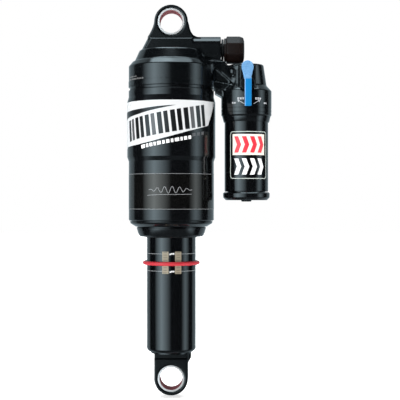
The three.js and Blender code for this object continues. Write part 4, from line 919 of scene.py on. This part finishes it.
def stroke(centre_line, width):
    """A line of some width, as flat four-sided marks that share their ends."""
    marks = []
    for (au, ah), (bu, bh) in zip(centre_line, centre_line[1:]):
        size = math.hypot(bu - au, bh - ah)
        su, sh = -(bh - ah) / size * width / 2, (bu - au) / size * width / 2
        marks.append([(au - su, ah - sh), (bu - su, bh - sh), (bu + su, bh + sh), (au + su, ah + sh)])
    return marks


WAVE_LEFT, WAVE_LONG, WAVE_TALL, CRESTS = -12.4, 24.8, 1.9, 6
wave = []
for n in range(CRESTS * 12 + 1):
    share = n / (CRESTS * 12)
    lift = WAVE_TALL * math.sin(math.pi * share)
    wave.append((WAVE_LEFT + WAVE_LONG * share, -94.4 + lift * math.sin(math.tau * CRESTS * share)))
scroll = stroke(wave, 0.36)
scroll += stroke([(-13.2, -97.4), (-6, -97.0), (2, -97.0), (12.2, -96.8)], 0.3)
wrapped("sleeve_scroll", scroll, BAND_R + INK, "head", scroll_ink)

# Setting marks round the foot of the collar and on the reservoir head, beside the lever's end.
small_ink = ink("small_ink", "#656565")
mark_ink = ink("mark_ink", "#A6A8AC")
COLLAR_R = 24.16
notes = [block(-30.5 + 1.9 * n, -29.2 + 1.9 * n, -33.4, -32.6) for n in range(8)]
notes += [block(-29.5 + 1.7 * n, -28.4 + 1.7 * n, -31.9, -31.3) for n in range(5)]
wrapped("collar_marks", notes, COLLAR_R, "head", small_ink)
side_marks = [block(u, u + 1.0, -44.4, -43.2) for u in (-5.6, -4.2, -2.8, 4.4, 5.7, 7.0)]
side_marks += [block(u, u + 0.9, -46.6, -45.7) for u in (-8.9, -7.6, 10.0, 11.2)]
for side in (-1, 1):
    middle = 0.9
    arrow = [(middle + side * u, h) for u, h in ((2.6, -46.7), (3.8, -46.1), (4.8, -45.5), (5.8, -44.9))]
    side_marks += stroke(arrow, 0.3)
    tip = [(middle + side * u, h) for u, h in ((6.5, -44.5), (5.2, -44.6), (6.0, -45.8))]
    side_marks.append(tip)
wrapped("reservoir_head_marks", side_marks, BARREL_R, "head", mark_ink, RESERVOIR_X)

# The reservoir's badge: a thin rounded frame round a cream panel and a black one.


def frame_of(left, right, low, high, corner, steps=5):
    """A closed rounded outline, from its lower right corner."""
    spots = ((right - corner, low + corner, -90), (right - corner, high - corner, 0))
    spots += ((left + corner, high - corner, 90), (left + corner, low + corner, 180))
    path = []
    for u, h, start in spots:
        for n in range(steps + 1):
            a = math.radians(start + 90 * n / steps)
            path.append((u + corner * math.cos(a), h + corner * math.sin(a)))
    return path + path[:1]


frame_ink = ink("frame_ink", "#B9C2BC")
cream = ink("cream_ink", "#F3E9DC")
red_ink = ink("red_ink", "#D8283A")
rim = stroke(frame_of(-10.3, 12.7, -88.0, -62.0, 1.6), 0.4)
wrapped("badge_frame", rim, RES_R, "head", frame_ink, RESERVOIR_X)
panel = block(-8.7, 10.9, -75.0, -63.4)
wrapped("badge_panel", [panel], RES_R, "head", cream, RESERVOIR_X)


def badge_row(low, high):
    """Four plain chevrons in a row, each made of a lower and an upper half."""
    wide, point, pitch = 2.5, 1.7, 4.53
    middle = (low + high) / 2
    marks = []
    for left in [-7.6 + pitch * n for n in range(4)]:
        marks.append(block(left, left + wide, low, middle, slant=point))
        marks.append(block(left + point, left + point + wide, middle, high, slant=-point))
    return marks


on_panel = RES_R + INK
wrapped("badge_red_row", badge_row(-73.7, -64.6), on_panel, "head", red_ink, RESERVOIR_X)
wrapped("badge_white_row", badge_row(-85.9, -76.9), RES_R, "head", white_ink, RESERVOIR_X)

# Travel marks on the damper tube: two ruled lines and two beige scales with their ticks.
beige = ink("beige_ink", "#8F8673", 0.45)
line_ink = ink("line_ink", "#8C9092")
around = math.pi * TUBE_R
lines = [block(-around + 0.01, around - 0.01, h - 0.12, h + 0.12) for h in (-129.9, -139.5)]
wrapped("travel_lines", lines, TUBE_R, "damper", line_ink)
SCALES = (-3.0, 4.2)
scales = [block(u - 1.8, u + 1.8, -140.9, -128.6) for u in SCALES]
wrapped("travel_scales", scales, TUBE_R + 0.02, "damper", beige)
between = [block(-0.6, 0.6, h, h + 0.8, 0.5) for h in (-130.6, -140.4)]
between += [block(0.9, 2.0, h, h + 0.8) for h in (-130.2, -140.0)]
wrapped("travel_figures", between, TUBE_R, "damper", white_ink)


def scale_ticks(tree, given):
    """Ticks up both scales: a row of thin bars, copied to each scale's place round the tube."""
    row = {"Count": given["Ticks"], "Start Location": given["First tick"], "Offset": given["Tick pitch"]}
    line = add(tree, "GeometryNodeMeshLine", row)
    bar_mesh = add(tree, "GeometryNodeMeshCube", {"Size": given["Tick size"]})
    spots = {"Points": line.outputs[0], "Instance": bar_mesh.outputs[0]}
    ticks = add(tree, "GeometryNodeInstanceOnPoints", spots)
    both_scales = add(tree, "GeometryNodeJoinGeometry")
    for u in SCALES:
        a = u / TUBE_R
        out = (TUBE_R + 0.045) * MM
        place = (out * math.sin(a), -out * math.cos(a), 0)
        moved = {"Geometry": ticks.outputs[0], "Translation": place, "Rotation": (0, 0, a)}
        shifted = add(tree, "GeometryNodeTransform", moved)
        tree.links.new(shifted.outputs[0], both_scales.inputs[0])
    return both_scales.outputs[0]


TICKS = {
    "Ticks": 9,
    "First tick": (0.0, 0.0, -140.3 * MM),
    "Tick pitch": (0.0, 0.0, 1.4 * MM),
    "Tick size": (2.2 * MM, 0.12 * MM, 0.28 * MM),
}
tick_ink = ink("tick_ink", "#4A4436")
ticks = nodes_mesh("travel_ticks", scale_ticks, tick_ink, TICKS)
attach(ticks, "damper")

# ---- Inner works -----------------------------------------------------------------------------
# What the housings hide keeps its modelled shape and takes the finish of what it is: a chromed
# shaft, turned steel and aluminium, brass, nitrile seals and bronze-filled PTFE glide pieces.
hard_chrome = grain(material("hard_chrome", "#C9CDD1", 1.0, 0.1), 0.3, 0.001, 0.03)
turned_steel = lathe_marks(material("turned_steel", "#7E8388", 1.0, 0.3), 0.2, 0.006)
machined_alloy = lathe_marks(material("machined_aluminium", "#A3A8AC", 1.0, 0.35), 0.25, 0.006)
machined_brass = lathe_marks(material("machined_brass", "#B89B58", 1.0, 0.3), 0.2, 0.006)
ptfe = grain(material("filled_ptfe", "#5A4932", 0.0, 0.6), 0.15, 0.003)
FINISHES = {
    hard_chrome: ("damper_shaft",),
    turned_steel: (
        "compression_shims", "rebound_shims", "piston_nut", "rebound_cam", "detent_ball",
        "detent_spring", "base_valve_shims", "base_valve_bolt",
    ),
    machined_alloy: ("damper_piston", "base_valve_piston", "floating_piston", "air_piston", "rebound_rod"),
    machined_brass: ("air_valve_core", "air_valve_pin"),
    nitrile: (
        "sleeve_o_ring_upper", "sleeve_o_ring_lower", "can_o_ring", "can_air_seal", "bottom_out_bumper",
        "reservoir_o_ring", "reservoir_cap_o_ring", "floating_piston_o_ring", "spindle_o_ring",
        "air_piston_seal",
    ),
    ptfe: ("can_glide_bush", "piston_band", "air_piston_glide_ring", "shaft_bush"),
}
for finish, names in FINISHES.items():
    for name in names:
        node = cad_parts[name]
        node.data.materials.clear()
        node.data.materials.append(finish)

# ---- Last update -----------------------------------------------------------------------------
bpy.context.view_layer.update()
